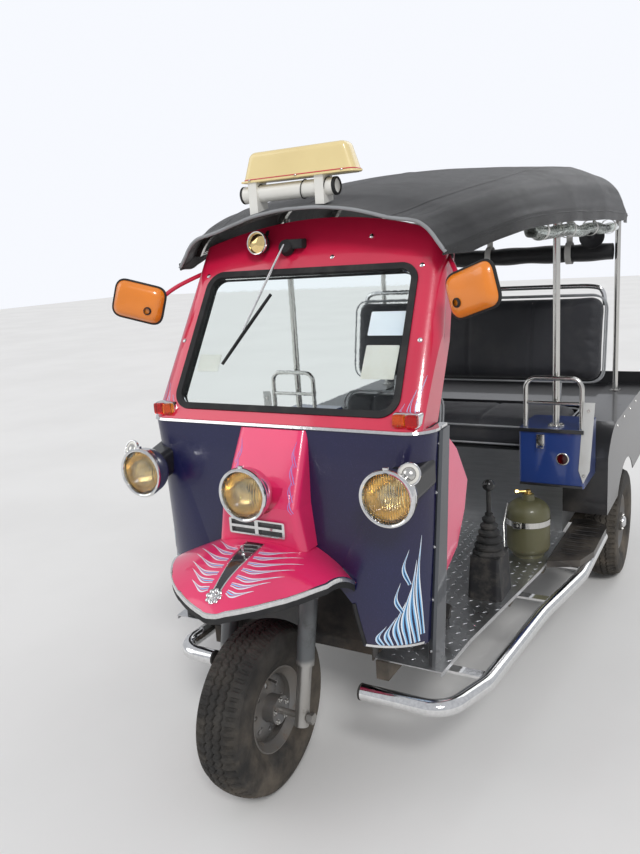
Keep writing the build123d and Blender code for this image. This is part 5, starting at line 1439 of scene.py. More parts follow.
class RICKSHAW_OT_cowl_trim(PieceOperator):
    """Hem strips, arch rubber, bolts and flames on the cowl, the screen surround and the nose column"""

    bl_idname = "rickshaw.cowl_trim"
    bl_label = "Cowl trim"

    # Ends of the hem strip and of the arch rubber as x and height
    hem_ends = ((0.309, 0.4712), (0.44, 0.451))
    arch_ends = ((0.2755, 0.59), (0.3065, 0.474))
    # The post's middle at its foot and head as x and height
    post_foot, post_head = (0.446, 0.36), (0.48, 1.068)
    surround_rivets = [
        (0.078, 1.546), (0.381, 1.508), (0.415, 1.307), (-0.381, 1.508), (-0.415, 1.307), (-0.2, 1.6),
        (0.2, 1.6),
    ]
    rivet_profile = [(0, 7.5), (2, 7), (3.6, 4), (4, 0.1)]
    # Flame tongues at the cowl's lower corners: foot, bend and tip as x and height, then width
    cowl_licks = [
        ((352, 466), (340, 492), (362, 524), 17),
        ((372, 463), (362, 500), (386, 548), 19),
        ((392, 461), (384, 520), (408, 590), 21),
        ((410, 460), (404, 545), (424, 640), 22),
        ((427, 460), (420, 580), (434, 710), 20),
        ((438, 480), (434, 640), (446, 780), 14),
        ((400, 560), (386, 600), (398, 650), 13),
        ((418, 640), (406, 690), (420, 745), 12),
    ]
    # Flame tongues on the nose column's edges
    column_licks = [
        ((118, 850), (106, 872), (112, 900), 11),
        ((112, 880), (98, 912), (106, 948), 12),
        ((108, 925), (93, 960), (100, 1000), 12),
        ((105, 970), (90, 1004), (96, 1040), 11),
    ]
    surround_licks = [
        ((400, 1092), (392, 1118), (404, 1146), 13),
        ((424, 1092), (418, 1134), (430, 1182), 14),
        ((446, 1094), (438, 1150), (448, 1216), 14),
        ((462, 1098), (458, 1170), (464, 1250), 12),
    ]
    # Painted shade for the grille's slots: x places across a dark band laid on the nose column's skin, which
    # stands in for the shade inside the slots
    slot_shade_columns = (-0.089, -0.045, 0, 0.045, 0.089)

    def make(self):
        cowl, surround = surface_of("front_cowl"), surface_of("windscreen_surround")
        self.strips(cowl, surround)
        flames = Shape()
        layers = [(1, 0.0004, 0), (0.66, 0.0007, 1), (0.28, 0.001, 2)]
        licks_on(flames, cowl, from_ahead, self.cowl_licks, layers)
        flames.build("cowl_flames", ["flame_white", "flame_blue", "navy_paint"], slot="navy_paint")
        pale = Shape()
        licks_on(pale, surround, from_ahead, self.surround_licks, layers[:2])
        pale.build("surround_flames", ["flame_blue", "red_paint"], slot="red_paint")
        self.column()

    def strips(self, cowl, surround):
        trim = Shape()
        for side in (-1, 1):
            hem = self.line_between(*self.hem_ends, 16, side)
            ribbon_on(trim, cowl, from_ahead, hem, [0.007] * len(hem), 0.0016, 0, 2)
            arch = self.line_between(*self.arch_ends, 14, side)
            trim.tube(line_on(cowl, from_ahead, arch, 0.001), 0.0062, 10, kind=1)
        posts = surface_of("cowl_side_posts")
        for side in (-1, 1):
            for z in (0.41, 0.57, 0.73, 0.89, 1.03):
                share = (z - self.post_foot[1]) / (self.post_head[1] - self.post_foot[1])
                x = side * lerp(self.post_foot[0], self.post_head[0], share)
                spot, facing = set_on(posts, *from_ahead(x, z))
                if spot is not None:
                    trim.hex_bolt(spot, facing, 9, 4)
        rivets_on(trim, surround, [from_ahead(x, z) for x, z in self.surround_rivets], self.rivet_profile, 16)
        trim.build("cowl_trim", ["chrome", "rubber"], slot="chrome")

    def line_between(self, start, end, steps, side):
        shares = [t / steps for t in range(steps + 1)]
        return [(side * lerp(start[0], end[0], share), lerp(start[1], end[1], share)) for share in shares]

    def column(self):
        skin = surface_of("nose_column")
        flames = Shape()
        licks_on(flames, skin, from_ahead, self.column_licks, [(1, 0.0004, 0), (0.55, 0.0007, 1)])
        # Painted shade: a dark gloss band on the column's skin between these heights stands in for the shade
        # in the grille's slots
        slot_shade_rows = [[(x, z) for x in self.slot_shade_columns] for z in (0.779, 0.821)]
        flames.grid([line_on(skin, from_ahead, row, 0.0008) for row in slot_shade_rows], 2)
        flames.build("column_flames_and_slot_shade", ["flame_lilac", "pink_paint", "black_gloss"], slot="pink_paint")


class RICKSHAW_OT_lamps(PieceOperator):
    """Reflectors and bulbs in the headlamps, pod discs, indicators and tail lamps"""

    bl_idname = "rickshaw.lamps"
    bl_label = "Lamps"

    # Centres of the headlamps' rims: x, metres behind the front axle, z
    places = ((0, -0.012, 0.915), (0.417, 0.04, 0.93), (-0.417, 0.04, 0.93))
    # Turned forms in millimetres: distance back from the rim, radius
    dish = [
        (12.5, 65.5), (13, 67), (30, 61.8), (48, 52), (62, 39), (72, 24), (76, 13), (74.5, 12.8),
        (70.5, 23.5), (60.5, 38), (46.5, 50.5), (29, 60),
    ]
    bulb = [(74, 12.5), (60, 12.5), (58, 8), (52, 9.5), (44, 9), (38, 5.5), (36, 0.1)]
    bezel = [
        (-0.6, 67.5), (-4, 69), (-5.8, 72.5), (-5, 76.5), (-1.5, 78.5), (8, 78.8), (10.5, 77.5),
        (9.5, 77.2), (-0.3, 77.1),
    ]
    # Disc on each pod: centre as x, distance and z, and its facing on the left side
    disc_place = (0.47, 0.072, 0.992)
    disc_facing = (0.2, -0.9, 0.38)
    disc_rim = [(0, 31.5), (6, 31.5), (8.5, 29.5), (8.5, 27.5), (6, 26.2)]
    disc_stem = [(-30, 10), (1, 10)]
    disc_face = [(0, 26.5), (5.8, 26.2), (7, 21.5), (6.2, 19)]
    disc_boss = [(6.2, 19), (5, 18.2), (6.6, 17.2), (10.8, 12.8), (13.2, 7), (13.8, 0.1)]
    tail_lamp_x, tail_lamp_z = 0.6, 0.72

    def make(self):
        inside, rims = Shape(), Shape()
        for x, distance, z in self.places:
            centre = place(x, distance, z)
            inside.lathe(self.dish, centre, (0, 1, 0), 56)
            inside.lathe(self.bulb[:2], centre, (0, 1, 0), 24, 1)
            inside.lathe(self.bulb[1:], centre, (0, 1, 0), 24, 2)
            rims.lathe(self.bezel, centre, (0, 1, 0), 72)
            rims.block((x, aft(distance) + 0.004, z + 0.0805), (0.014, 0.01, 0.007), 0.001)
        inside.build("headlamp_insides", ["reflector", "chrome", "clear_lens"], slot="lamp_glass")
        self.pod_discs(rims)
        rims.build("lamp_bezels", ["chrome", "white_paint", "stainless"], slot="chrome")
        lenses = ["chrome", "amber_lens", "red_lens", "clear_lens"]
        front, back = self.indicators(), self.tail_lamps()
        front.build("front_indicators", lenses[:3], slot="marker_lens", replaces="marker_lamps")
        back.build("tail_lamps", lenses, slot="marker_lens", replaces="marker_lamps")

    def pod_discs(self, rims):
        x, distance, z = self.disc_place
        for side in (-1, 1):
            spot = place(side * x, distance, z)
            facing = (side * self.disc_facing[0], *self.disc_facing[1:])
            rims.lathe(self.disc_rim, spot, facing, 48)
            rims.lathe(self.disc_stem, spot, facing, 20)
            rims.lathe(self.disc_face, spot, facing, 48, 1)
            rims.lathe(self.disc_boss, spot, facing, 48, 2)

    def indicators(self):
        lamps = Shape()
        for side in (-1, 1):
            root = place(side * 0.418, 0.245, 1.106)
            lamps.upright(panel(0.078, 0.042, 0.012, 5), root, -0.062, 0.002)
            for half, kind in ((-1, 1), (1, 2)):
                lens = panel(0.0355, 0.036, 0.009, 5)
                face = root + Vector((half * side * 0.0185, -0.0625, 0))
                lamps.upright(lens, face, -0.013, 0.005, kind, 3)
        return lamps

    def tail_lamps(self):
        lamps = Shape()
        rear_face = box_of("marker_lamps")[1].y
        for side in (-1, 1):
            root = Vector((side * self.tail_lamp_x, rear_face - 0.033, self.tail_lamp_z))
            lamps.upright(panel(0.158, 0.082, 0.014, 5), root, 0.012, 0.002)
            for offset, kind in ((0.051, 1), (0, 2), (-0.051, 3)):
                lens = panel(0.048, 0.072, 0.008, 5)
                face = root + Vector((side * offset, 0.0115, 0))
                lamps.upright(lens, face, 0.02, 0.006, kind, 3)
        return lamps


class RICKSHAW_OT_screen_fittings(PieceOperator):
    """Wiper, spot lamp and blank cards at the windscreen"""

    bl_idname = "rickshaw.screen_fittings"
    bl_label = "Screen fittings"

    lean = Vector((0, 0.513, 0.858))
    facing = Vector((0, -0.858, 0.513))
    spot_facing = (-0.05, -0.97, 0.1)
    motor_profile = [(-6, 24), (16, 24), (22, 19), (24, 0.1)]
    spot_shell = [(-34, 0.1), (-34, 18), (-22, 31), (0, 37), (6, 37)]
    spot_rim = [(2, 37.2), (9, 38), (11, 36.5), (10, 33.5), (4, 33)]
    spot_face = [(4, 33.2), (9, 24), (11, 0.1)]
    # Cards inside the glass: x, z, width, height, kind
    cards = [(0.3, 1.357, 0.112, 0.076, 0), (0.3, 1.254, 0.104, 0.104, 1), (-0.3, 1.245, 0.084, 0.058, 1)]

    def on_screen(self, x, z, lift):
        """Point over the leaning screen; a lift above 0 is outside."""
        return place(x, 0.173 + (z - 1.078) * 0.598, z) + self.facing * lift

    def make(self):
        shape = Shape()
        self.wiper(shape)
        self.spot_lamp(shape)
        shape.build("screen_fittings", ["rubber", "chrome", "reflector"], slot="rubber")
        cards = Shape()
        for x, z, width, height, kind in self.cards:
            outline = panel(width, height, 0.004, 3)
            cards.slab(outline, self.on_screen(x, z, -0.012), (1, 0, 0), self.lean, -0.0008, 0, kind)
        cards.build("screen_cards", ["flame_white", "paper"], slot="white_paint")

    def wiper(self, shape):
        hub = self.on_screen(-0.085, 1.575, 0.012)
        shape.lathe(self.motor_profile, hub, self.facing, 28)
        shape.block(hub + Vector((0.03, 0.004, 0.012)), (0.062, 0.034, 0.03), 0.004, 0)
        arm_root = hub + self.facing * 0.024
        arm_bend = hub + self.facing * 0.026 + Vector((-0.01, -0.014, -0.03))
        arm_tip = self.on_screen(-0.175, 1.33, 0.02)
        shape.tube([arm_root, arm_bend, arm_tip], 0.004, 10, kind=1)
        blade = ((-0.11, 1.44), (-0.232, 1.235))
        back = [self.on_screen(*end, 0.009) for end in blade]
        shape.tube([back[0], arm_tip - self.facing * 0.008, back[1]], 0.0042, 8)
        shape.tube([self.on_screen(*end, 0.004) for end in blade], 0.0026, 8)

    def spot_lamp(self, shape):
        spot = self.on_screen(-0.185, 1.585, 0.036)
        shape.lathe(self.spot_shell, spot, self.spot_facing, 36)
        shape.lathe(self.spot_rim, spot, self.spot_facing, 40, 1)
        shape.lathe(self.spot_face, spot, self.spot_facing, 36, 2)
        arm = [spot + Vector((0, 0.02, 0)), self.on_screen(-0.185, 1.625, 0.004)]
        shape.tube([*arm, self.on_screen(-0.185, 1.64, -0.002)], 0.006, 10)


class RICKSHAW_OT_mirrors(PieceOperator):
    """Mirrors: orange shells with a black rim, glass and a bent arm"""

    bl_idname = "rickshaw.mirrors"
    bl_label = "Mirrors"

    turn = radians(24)
    # Shell from its front back: depth, width, height, corner radius
    shell = [
        (-0.0015, 0.164, 0.116, 0.032), (-0.0035, 0.17, 0.122, 0.034), (-0.01, 0.169, 0.121, 0.034),
        (-0.022, 0.156, 0.109, 0.032), (-0.03, 0.14, 0.094, 0.029), (-0.0335, 0.12, 0.074, 0.025),
        (-0.0345, 0.06, 0.03, 0.012),
    ]
    # Rubber bands round the shell: depth, width, height, corner radius, radius
    bands = [(-0.0035, 0.164, 0.116, 0.033, 0.0035), (-0.0085, 0.169, 0.121, 0.034, 0.0048)]

    def make(self):
        shape = Shape()
        for side in (-1, 1):
            self.mirror(shape, side)
        shape.build(
            "mirror_sets", ["mirror_orange", "rubber", "mirror_glass", "red_paint"], slot="mirror_orange",
            replaces="mirrors",
        )

    def mirror(self, shape, side):
        centre, root = place(side * 0.578, 0.3, 1.44), place(side * 0.428, 0.52, 1.53)
        across = Vector((cos(self.turn), -side * sin(self.turn), side * 0.3)).normalized()
        back = Vector((side * sin(self.turn), cos(self.turn), 0))
        across = (across - back * across.dot(back)).normalized()
        upward = back.cross(across)

        def ring(depth, *outline):
            return [centre + across * x + upward * y + back * depth for x, y in panel(*outline, 8)]

        rows = [ring(*section) for section in self.shell]
        shape.grid(rows, close_columns=True)
        shape.cap_ends(rows, 0, first=False)
        for *section, radius in self.bands:
            shape.tube(ring(*section), radius, 10, closed=True, kind=1)
        shape.slab(panel(0.158, 0.11, 0.03, 8), centre - back * 0.0045, across, upward, 0.003, 0, 2)
        end = centre - across * side * 0.04 + upward * 0.02 - back * 0.028
        middle = root.lerp(end, 0.55) + Vector((side * 0.01, -0.004, 0.012))
        shape.tube(curve_through([root, middle, end], 10), 0.0072, 12, kind=3)
        collar = [(-3, 15), (8, 15), (12, 11), (16, 8.5)]
        shape.lathe(collar, root, (end - root).normalized(), 24, 1)
        shape.lathe([(-8, 13), (10, 13), (14, 9)], end, -back, 20, 1)


class RICKSHAW_OT_side_fittings(PieceOperator):
    """Latches, straps and bolts on the side boxes, the gas bottle's valve, end caps and step treads"""

    bl_idname = "rickshaw.side_fittings"
    bl_label = "Side fittings"

    # Ribs on each step: distance of the first, pitch, count, places across
    rib_start, rib_pitch, rib_count, rib_line = 1.2, 0.044, 9, (0.6, 0.64, 0.68, 0.704)

    def make(self):
        shape = Shape()
        for side in (-1, 1):
            self.side_box(shape, side)
        self.bottle(shape)
        for x, distance, facing in ((0.285, 0.092, -1), (-0.23, 0.082, 1)):
            cap = [(-4, 24.5), (1.5, 24.5), (4, 21), (4.5, 0.1)]
            shape.lathe(cap, place(x, distance, 0.318), (facing, 0, 0), 28, 5)
        self.step_treads(shape)
        shape.build(
            "side_fittings", ["stainless", "white_vinyl", "black_paint", "red_lens", "brass", "rubber"],
            slot="stainless",
        )

    def side_box(self, shape, side):
        front, top, middle, ahead = aft(1.205), 0.858, side * 0.568, (0, -1, 0)
        shape.block((middle, front - 0.003, top - 0.006), (0.24, 0.008, 0.014), 0.0015, 2)
        shape.block((middle, front - 0.003, 0.638), (0.236, 0.006, 0.01), 0.0015, 2)
        shape.block((side * 0.53, front - 0.004, 0.815), (0.03, 0.008, 0.044), 0.002, 0)
        loop = [(0.518, 0.01, 0.8), (0.518, 0.014, 0.786), (0.542, 0.014, 0.786), (0.542, 0.01, 0.8)]
        shape.tube([(side * x, front - out, z) for x, out, z in loop], 0.0022, 8)
        reflector = (side * 0.612, front, 0.745)
        shape.lathe([(0, 24), (3, 24), (4.5, 22), (4.5, 20)], reflector, ahead, 36)
        shape.lathe([(0, 20.5), (4, 20), (6, 12), (6.5, 0.1)], reflector, ahead, 36, 3)
        strap = [(-0.02, 0.31), (-0.02, 0.05), (0, 0), (0.02, 0.05), (0.02, 0.31)]
        foot = Vector((side * 0.688, front - 0.0035, 0.655))
        head = Vector((side * 0.706, front + 0.004, 0.965))
        shape.slab(strap, foot, (-1, 0, 0), (head - foot).normalized(), -0.0022, 0.0006, 1)
        for share in (0.1, 0.9):
            shape.hex_bolt(foot.lerp(head, share) + Vector((0, -0.002, 0)), ahead, 9, 4)
        post = place(side * 0.573, 1.267, top + 0.0004)
        collar = [(0, 30), (4, 30), (5, 28), (5, 15.2), (12, 14.8)]
        shape.lathe(collar, post, (0, 0, 1), 32)
        for turn in turns(4, pi / 4):
            bolt = post + Vector((cos(turn) * 0.0225, sin(turn) * 0.0225, 0.0045))
            shape.hex_bolt(bolt, (0, 0, 1), 7, 4)

    def bottle(self, shape):
        """Valve with its pipe, a clamp round the bottle and its rod."""
        low, high, centre = box_of("gas_bottle")
        top = Vector((centre.x, centre.y, high.z))
        shape.lathe([(-2, 15), (6, 15), (7, 10), (16, 10)], top, (0, 0, 1), 24, 4)
        shape.tube([top + Vector((0, 0, 0.01)), top + Vector((-0.038, -0.018, 0.01))], 0.0062, 12, kind=4)
        nut = top + Vector((-0.034, -0.016, 0.01))
        shape.lathe([(0, 9.5), (12, 9.5)], nut, (-0.9, -0.43, 0), 6, 4)
        half = Vector((0, 0, 0.011))
        rows = []
        for turn in turns(48):
            near = centre + Vector((cos(turn) * 0.0838, sin(turn) * 0.0838, 0.02))
            far = centre + (near - centre) * 1.018
            rows.append([near - half, near + half, far + half, far - half])
        shape.grid(rows, close_rows=True, close_columns=True)
        shape.block(centre + Vector((-0.02, -0.089, 0.02)), (0.03, 0.012, 0.02), 0.002, 0)
        shape.hex_bolt(centre + Vector((-0.02, -0.095, 0.02)), (0, -1, 0), 11, 7)
        rod = [(-0.088, -0.02, -0.12), (-0.09, -0.024, 0), (-0.06, -0.07, 0.105)]
        shape.tube([centre + Vector(spot) for spot in rod], 0.0035, 8)

    def step_treads(self, shape):
        steps = surface_of("steps")
        for side in (-1, 1):
            for rib in range(self.rib_count):
                distance = self.rib_start + rib * self.rib_pitch
                points = line_on(steps, from_above, [(side * x, distance) for x in self.rib_line], 0.0004)
                if len(points) > 1:
                    shape.tube(points, 0.0024, 6, kind=5)


class RICKSHAW_OT_floor_tread(PieceOperator):
    """Raised lozenges on the floor plate"""

    bl_idname = "rickshaw.floor_tread"
    bl_label = "Floor tread"

    pitch, rise, slimness, head_room = 0.034, 0.0016, 0.3, 0.03
    # The field of lozenges: its right edge, its front edge's distance, its width and length
    right_edge, front_edge, width, length = -0.57, 0.215, 1.14, 1.23

    def make(self):
        floor = surface_of("floor_plate")
        things = surface_of(
            "seat_boxes", "driver_controls", "gas_bottle", "knee_wings", "front_wheelhouse", "steering_neck",
            "cowl_side_posts", "side_boxes",
        )
        tread = Shape()
        half = sizes().lozenge / 2
        for column in range(int(self.width / self.pitch) + 1):
            for row in range(int(self.length / self.pitch) + 1):
                x, y = self.right_edge + column * self.pitch, aft(self.front_edge + row * self.pitch)
                turn = radians(45 if (column + row) % 2 else -45)
                if self.free(floor, things, x, y, half, turn):
                    self.lozenge(tread, x, y, half, turn)
        tread.build("floor_lozenges", "tread_plate", slot="tread_plate")

    def free(self, floor, things, x, y, half, turn):
        """Whether a lozenge has floor under it and nothing on it."""
        for along in (-half, 0, half):
            spot = Vector((x + cos(turn) * along, y + sin(turn) * along, floor_top + 0.01))
            if floor.ray_cast(spot, Vector((0, 0, -1)), 0.012)[0] is None:
                return False
            over, facing, _, distance = things.ray_cast(spot, Vector((0, 0, 1)), 1.2)
            if over is not None and (facing.z > 0 or distance < self.head_room):
                return False
        return True

    def lozenge(self, tread, x, y, half, turn):
        verts = []
        for share, z in ((1, -0.0003), (0.62, self.rise)):
            for angle in turns(8):
                long, short = cos(angle) * half * share, sin(angle) * half * self.slimness * share
                across, behind = long * cos(turn) - short * sin(turn), long * sin(turn) + short * cos(turn)
                verts.append((x + across, y + behind, floor_top + z))
        sides = [(i, (i + 1) % 8, 8 + (i + 1) % 8, 8 + i) for i in range(8)]
        tread.add(verts, [*sides, tuple(range(8, 16))])


class RICKSHAW_OT_driving_fittings(PieceOperator):
    """Ribbed grips and levers on the handlebar, and a blank gauge and switches on the dashboard"""

    bl_idname = "rickshaw.driving_fittings"
    bl_label = "Driving fittings"

    rake = radians(14)
    # The bar's height up the stem; the grip's tip and the bar's bend: x, way back from the stem
    bar_height, grip_tip, bar_bend = 0.81, (0.27, 0.25), (0.11, 0.09)
    grip_ribs, rib_pitch = 20, 5
    dash_tilt = Vector((0, 0.45, 0.89))
    # Switches on the dashboard: x, kind
    knobs = [(-0.12, 2), (-0.16, 2), (-0.2, 3), (-0.24, 2)]
    knob_profile = [(-2, 9), (3, 9), (4, 4.5), (12, 4.5), (13, 8), (21, 8.5), (23, 6), (23.5, 0.1)]

    def make(self):
        grips = Shape()
        for side in (-1, 1):
            self.grip(grips, side)
        grips.build("handlebar_grips", ["rubber", "chrome"], "steering", "chrome")
        self.dash()

    def spot(self, x, reach, height):
        """Point in the steering's own frame: across, back from the stem and up along it."""
        up = Vector((0, sin(self.rake), cos(self.rake)))
        ahead = Vector((0, cos(self.rake), -sin(self.rake)))
        foot = Vector((0, front_axle.y, front_axle.z)) + ahead * 0.03
        return foot + up * height + ahead * reach + Vector((x, 0, 0))

    def grip(self, grips, side):
        tip, bend = [self.spot(side * x, back, self.bar_height) for x, back in (self.grip_tip, self.bar_bend)]
        inward = (bend - tip).normalized()
        profile = [(-4, 0.1), (-4, 17), (0, 18.5)]
        for ring in range(self.grip_ribs):
            rib = [(1, 18.8), (3.5, 18.8), (4, 17.6), (5.5, 17.6)]
            profile += [(along + ring * self.rib_pitch, radius) for along, radius in rib]
        profile += [(103, 20.5), (107, 20.5), (107, 12)]
        grips.lathe(profile, tip, inward, 28)
        perch = tip.lerp(bend, 0.6)
        ahead = self.spot(0, -1, 0) - self.spot(0, 0, 0)
        out = (ahead - inward * ahead.dot(inward)).normalized()
        grips.lathe([(-14, 16), (14, 16)], perch, inward, 20, 1)
        grips.block(perch + out * 0.02, (0.018, 0.018, 0.016), 0.003, 1)
        root = [perch + out * 0.024, perch + out * 0.036 - inward * 0.03]
        end = [tip + out * 0.042 + inward * 0.02, tip + out * 0.046 - inward * 0.012]
        grips.tube(curve_through([*root, *end], 8), [0.0052] * 24 + [0.0068], 10, kind=1)

    def dash(self):
        low, high, centre = box_of("dashboard")
        dash = Shape()
        gauge = Vector((0.165, centre.y + 0.03, high.z))
        rim = [(-6, 43), (30, 43), (34, 40), (34, 36), (31, 35.5)]
        dash.lathe(rim, gauge, self.dash_tilt, 48)
        dash.lathe([(30.5, 36), (30.5, 0.1)], gauge, self.dash_tilt, 48, 1)
        needle = gauge + self.dash_tilt.normalized() * 0.032
        dash.tube([needle, needle + Vector((-0.02, 0.01, 0.004))], 0.0011, 6, kind=3)
        for x, kind in self.knobs:
            dash.lathe(self.knob_profile, (x, centre.y + 0.04, high.z), self.dash_tilt, 20, kind)
        dash.build("dash_fittings", ["chrome", "paper", "rubber", "red_paint"], slot="dash_plastic")


class RICKSHAW_OT_tail_fittings(PieceOperator):
    """Blank plate, reflectors and bolts at the back, and the rail over the bench"""

    bl_idname = "rickshaw.tail_fittings"
    bl_label = "Tail fittings"

    plate_y, plate_z = 1.3838, 0.64
    tail_rivets = [(x, z) for x in (-0.69, -0.48, -0.25, 0.25, 0.48, 0.69) for z in (0.475, 0.838)]
    tail_rivet = [(0, 7.5), (2, 6.8), (3.4, 4), (3.8, 0.1)]
    # Rivets along each rear guard: their distances and their height
    guard_rivets, guard_rivet_z = (1.5, 1.68, 1.86, 2.04, 2.22, 2.4, 2.54), 0.775
    guard_rivet = [(0, 7), (1.8, 6.4), (3, 3.8), (3.4, 0.1)]
    # The bench rail's right end and its middle: x, height over the backrest
    rail_end = [(-0.61, -0.07), (-0.6, -0.01), (-0.56, 0.016)]
    rail_middle = [(-0.4, 0.02), (0, 0.02), (0.4, 0.02)]

    def make(self):
        tail, guards = surface_of("tail_body"), surface_of("quarters")
        shape = Shape()
        self.plate(shape, self.plate_y, self.plate_z)
        for x in (-0.44, 0.44):
            spot, facing = set_on(tail, *from_behind(x, 0.6))
            shape.lathe([(0, 36), (5, 36), (7, 34), (7, 31)], spot, facing, 40)
            shape.lathe([(0, 31.5), (6, 31), (10, 22), (11, 0.1)], spot, facing, 40, 2)
        rivets_on(shape, tail, [from_behind(x, z) for x, z in self.tail_rivets], self.tail_rivet, 14)
        for side in (-1, 1):
            aims = [from_beside(side, distance, self.guard_rivet_z) for distance in self.guard_rivets]
            rivets_on(shape, guards, aims, self.guard_rivet, 14)
        kinds = ["stainless", "white_paint", "red_lens", "black_gloss"]
        shape.build("tail_fittings", kinds, slot="stainless")
        self.bench_rail()

    def plate(self, shape, y, z):
        """The blank plate with a pressed rim and two bolts."""
        shape.upright(panel(0.32, 0.132, 0.014), (0, y, z), 0.0016, 0.0005, 1)
        rim = [(across, y + 0.0018, z + up) for across, up in panel(0.306, 0.118, 0.01)]
        shape.tube(rim, 0.0012, 6, closed=True, kind=3)
        for x in (-0.105, 0.105):
            shape.hex_bolt((x, y + 0.0014, z), (0, 1, 0), 10, 5)

    def bench_rail(self):
        rail = Shape()
        high = box_of("bench_backrest")[1]
        left_end = [(-x, rise) for x, rise in reversed(self.rail_end)]
        line = [*self.rail_end, *self.rail_middle, *left_end]
        rail.tube(curve_through([(x, high.y + 0.004, high.z + rise) for x, rise in line], 8), 0.011, 16)
        rail.build("bench_rail", "chrome", slot="chrome")


class RICKSHAW_OT_roof_sign(PieceOperator):
    """The blank roof sign as a moulded housing with round corners and a seam line"""

    bl_idname = "rickshaw.roof_sign"
    bl_label = "Roof sign"

    end_slope, face_lean = radians(72), 0.05
    corner, edge, edge_steps = 0.024, 0.016, 6
    seam_height, seam_radius = 0.008, 0.0016

    def make(self):
        low, high, centre = box_of("roof_sign")
        size = high - low
        levels = [((size.z - self.edge) * share, 0) for share in (0, 0.25, 0.5, 0.75, 1)]
        for step in range(1, self.edge_steps + 1):
            turn = pi / 2 * step / self.edge_steps
            levels.append((size.z - self.edge + self.edge * sin(turn), self.edge * (1 - cos(turn))))
        base = Vector((centre.x, centre.y, low.z))
        rows = [self.ring(base, size, height, inset) for height, inset in levels]
        sign = Shape()
        sign.grid(rows, close_columns=True)
        sign.cap_ends(rows)
        sign.tube(self.ring(base, size, self.seam_height, 0), self.seam_radius, 8, closed=True, kind=1)
        kinds = ["sign_cream", "red_paint"]
        sign.build("roof_sign_housing", kinds, slot="sign_cream", angle=50, replaces="roof_sign")

    def ring(self, base, size, height, inset):
        """The housing's outline at a height over its base."""
        width = size.x - 2 * (height / tan(self.end_slope) + inset)
        depth = size.y - 2 * (height * self.face_lean + inset)
        outline = panel(width, depth, max(self.corner - inset, 0.004), 8)
        return [base + Vector((x, y, height)) for x, y in outline]


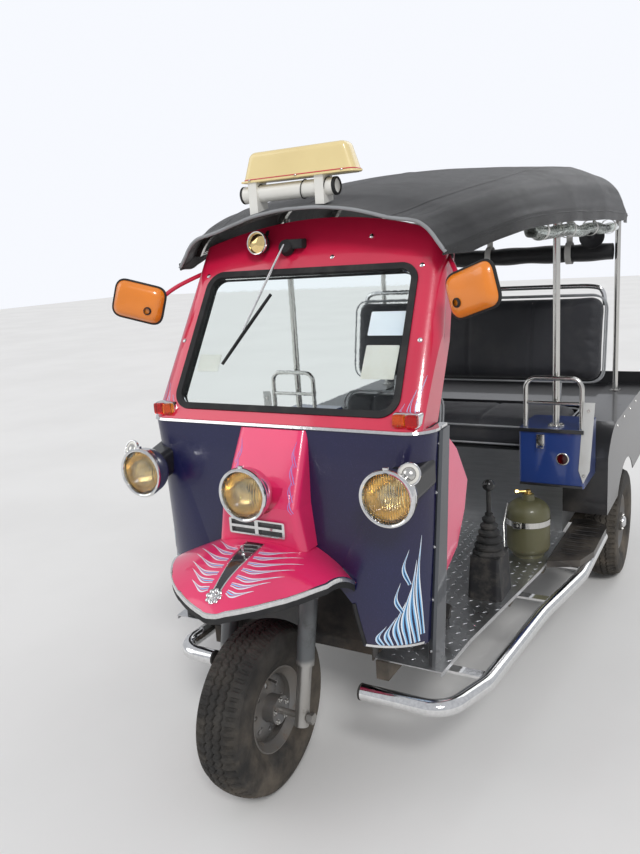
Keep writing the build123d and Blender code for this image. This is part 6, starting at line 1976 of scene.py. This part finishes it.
class RICKSHAW_OT_roof_fittings(PieceOperator):
    """The sign's base plate and fasteners, the carrier tube's caps and wires, and a speaker"""

    bl_idname = "rickshaw.roof_fittings"
    bl_label = "Roof fittings"

    tube_z = 1.752
    tube_cap = [(-6, 26.8), (2, 26.8), (4, 24), (4, 21), (-1, 20), (-1, 0.1)]
    speaker_shell = [(-50, 0.1), (-50, 22), (-44, 26), (-20, 46), (0, 56), (6, 56), (8, 52)]
    speaker_cone = [(4, 52), (-6, 40), (-12, 18), (-6, 12), (-3, 0.1)]

    def make(self):
        shape = Shape()
        low, high, centre = box_of("roof_sign")
        self.base_plate(shape, low, high, centre)
        self.carrier(shape, centre.y)
        speaker, out = place(0.54, 2.13, 1.56), Vector((0.25, -0.95, -0.15)).normalized()
        shape.lathe(self.speaker_shell, speaker, out, 40, 2)
        shape.lathe(self.speaker_cone, speaker, out, 40, 3)
        root = speaker - out * 0.04
        shape.tube([root, root + Vector((0.012, 0, 0.06)), place(0.56, 2.17, 1.69)], 0.006, 10, kind=1)
        shape.build("roof_fittings", ["sign_cream", "stainless", "rubber", "dash_plastic"], slot="sign_cream")

    def base_plate(self, shape, low, high, centre):
        left, right = low.x - centre.x - 0.004, high.x - centre.x
        nose = [(right - 0.02, -0.038), (right + 0.012, 0), (right - 0.02, 0.038)]
        outline = [(left, -0.034), *nose, (left, 0.034)]
        foot = (centre.x, centre.y, low.z - 0.0006)
        shape.slab(rounded(outline, 0.008, 4), foot, (1, 0, 0), (0, 1, 0), 0.0055, 0.0015, 0)
        for x in (low.x + 0.03, centre.x, high.x - 0.04):
            shape.hex_bolt((x, centre.y - 0.0345, low.z + 0.0042), (0, 0, 1), 7, 4, 1)

    def carrier(self, shape, y):
        """Caps on the carrier tube's ends, and the wires that hold it."""
        for x, facing in ((-0.21, -1), (0.12, 1)):
            shape.lathe(self.tube_cap, (x, y, self.tube_z), (facing, 0, 0), 32, 2)
        for x in (-0.15, 0.01, 0.09):
            ring = [(sin(turn), cos(turn)) for turn in turns(28)]
            loop = [(x + 0.004 * up, y + back * 0.0278, self.tube_z + up * 0.0278) for up, back in ring]
            shape.tube(loop, 0.0014, 6, closed=True, kind=2)


operators = (
    RICKSHAW_OT_finishes, RICKSHAW_OT_stage, RICKSHAW_OT_tyres, RICKSHAW_OT_wheel_fittings,
    RICKSHAW_OT_fender_trim, RICKSHAW_OT_cowl_trim, RICKSHAW_OT_lamps, RICKSHAW_OT_screen_fittings,
    RICKSHAW_OT_mirrors, RICKSHAW_OT_driving_fittings, RICKSHAW_OT_floor_tread,
    RICKSHAW_OT_side_fittings, RICKSHAW_OT_tail_fittings, RICKSHAW_OT_roof_sign,
    RICKSHAW_OT_roof_fittings, RICKSHAW_OT_canopy, RICKSHAW_OT_curtains, RICKSHAW_OT_seats,
)


class RICKSHAW_PT_panel(bpy.types.Panel):
    """Lists the operators in the order in which they build the looks"""

    bl_idname = "RICKSHAW_PT_panel"
    bl_label = "Rickshaw"
    bl_space_type = "VIEW_3D"
    bl_region_type = "UI"
    bl_category = "Rickshaw"

    def draw(self, context):
        for group in (context.scene.rickshaw_colours, context.scene.rickshaw_sizes):
            for name in group.__annotations__:
                self.layout.prop(group, name)
        for operator in operators:
            self.layout.operator(operator.bl_idname)


classes = (RickshawColours, RickshawSizes, *operators, RICKSHAW_PT_panel)


def register():
    for made in classes:
        bpy.utils.register_class(made)
    bpy.types.Scene.rickshaw_colours = bpy.props.PointerProperty(type=RickshawColours)
    bpy.types.Scene.rickshaw_sizes = bpy.props.PointerProperty(type=RickshawSizes)


def unregister():
    del bpy.types.Scene.rickshaw_sizes
    del bpy.types.Scene.rickshaw_colours
    for made in reversed(classes):
        bpy.utils.unregister_class(made)


def main():
    register()
    for operator in operators:
        group, name = operator.bl_idname.split(".")
        getattr(getattr(bpy.ops, group), name)()


if __name__ == "__main__":
    main()
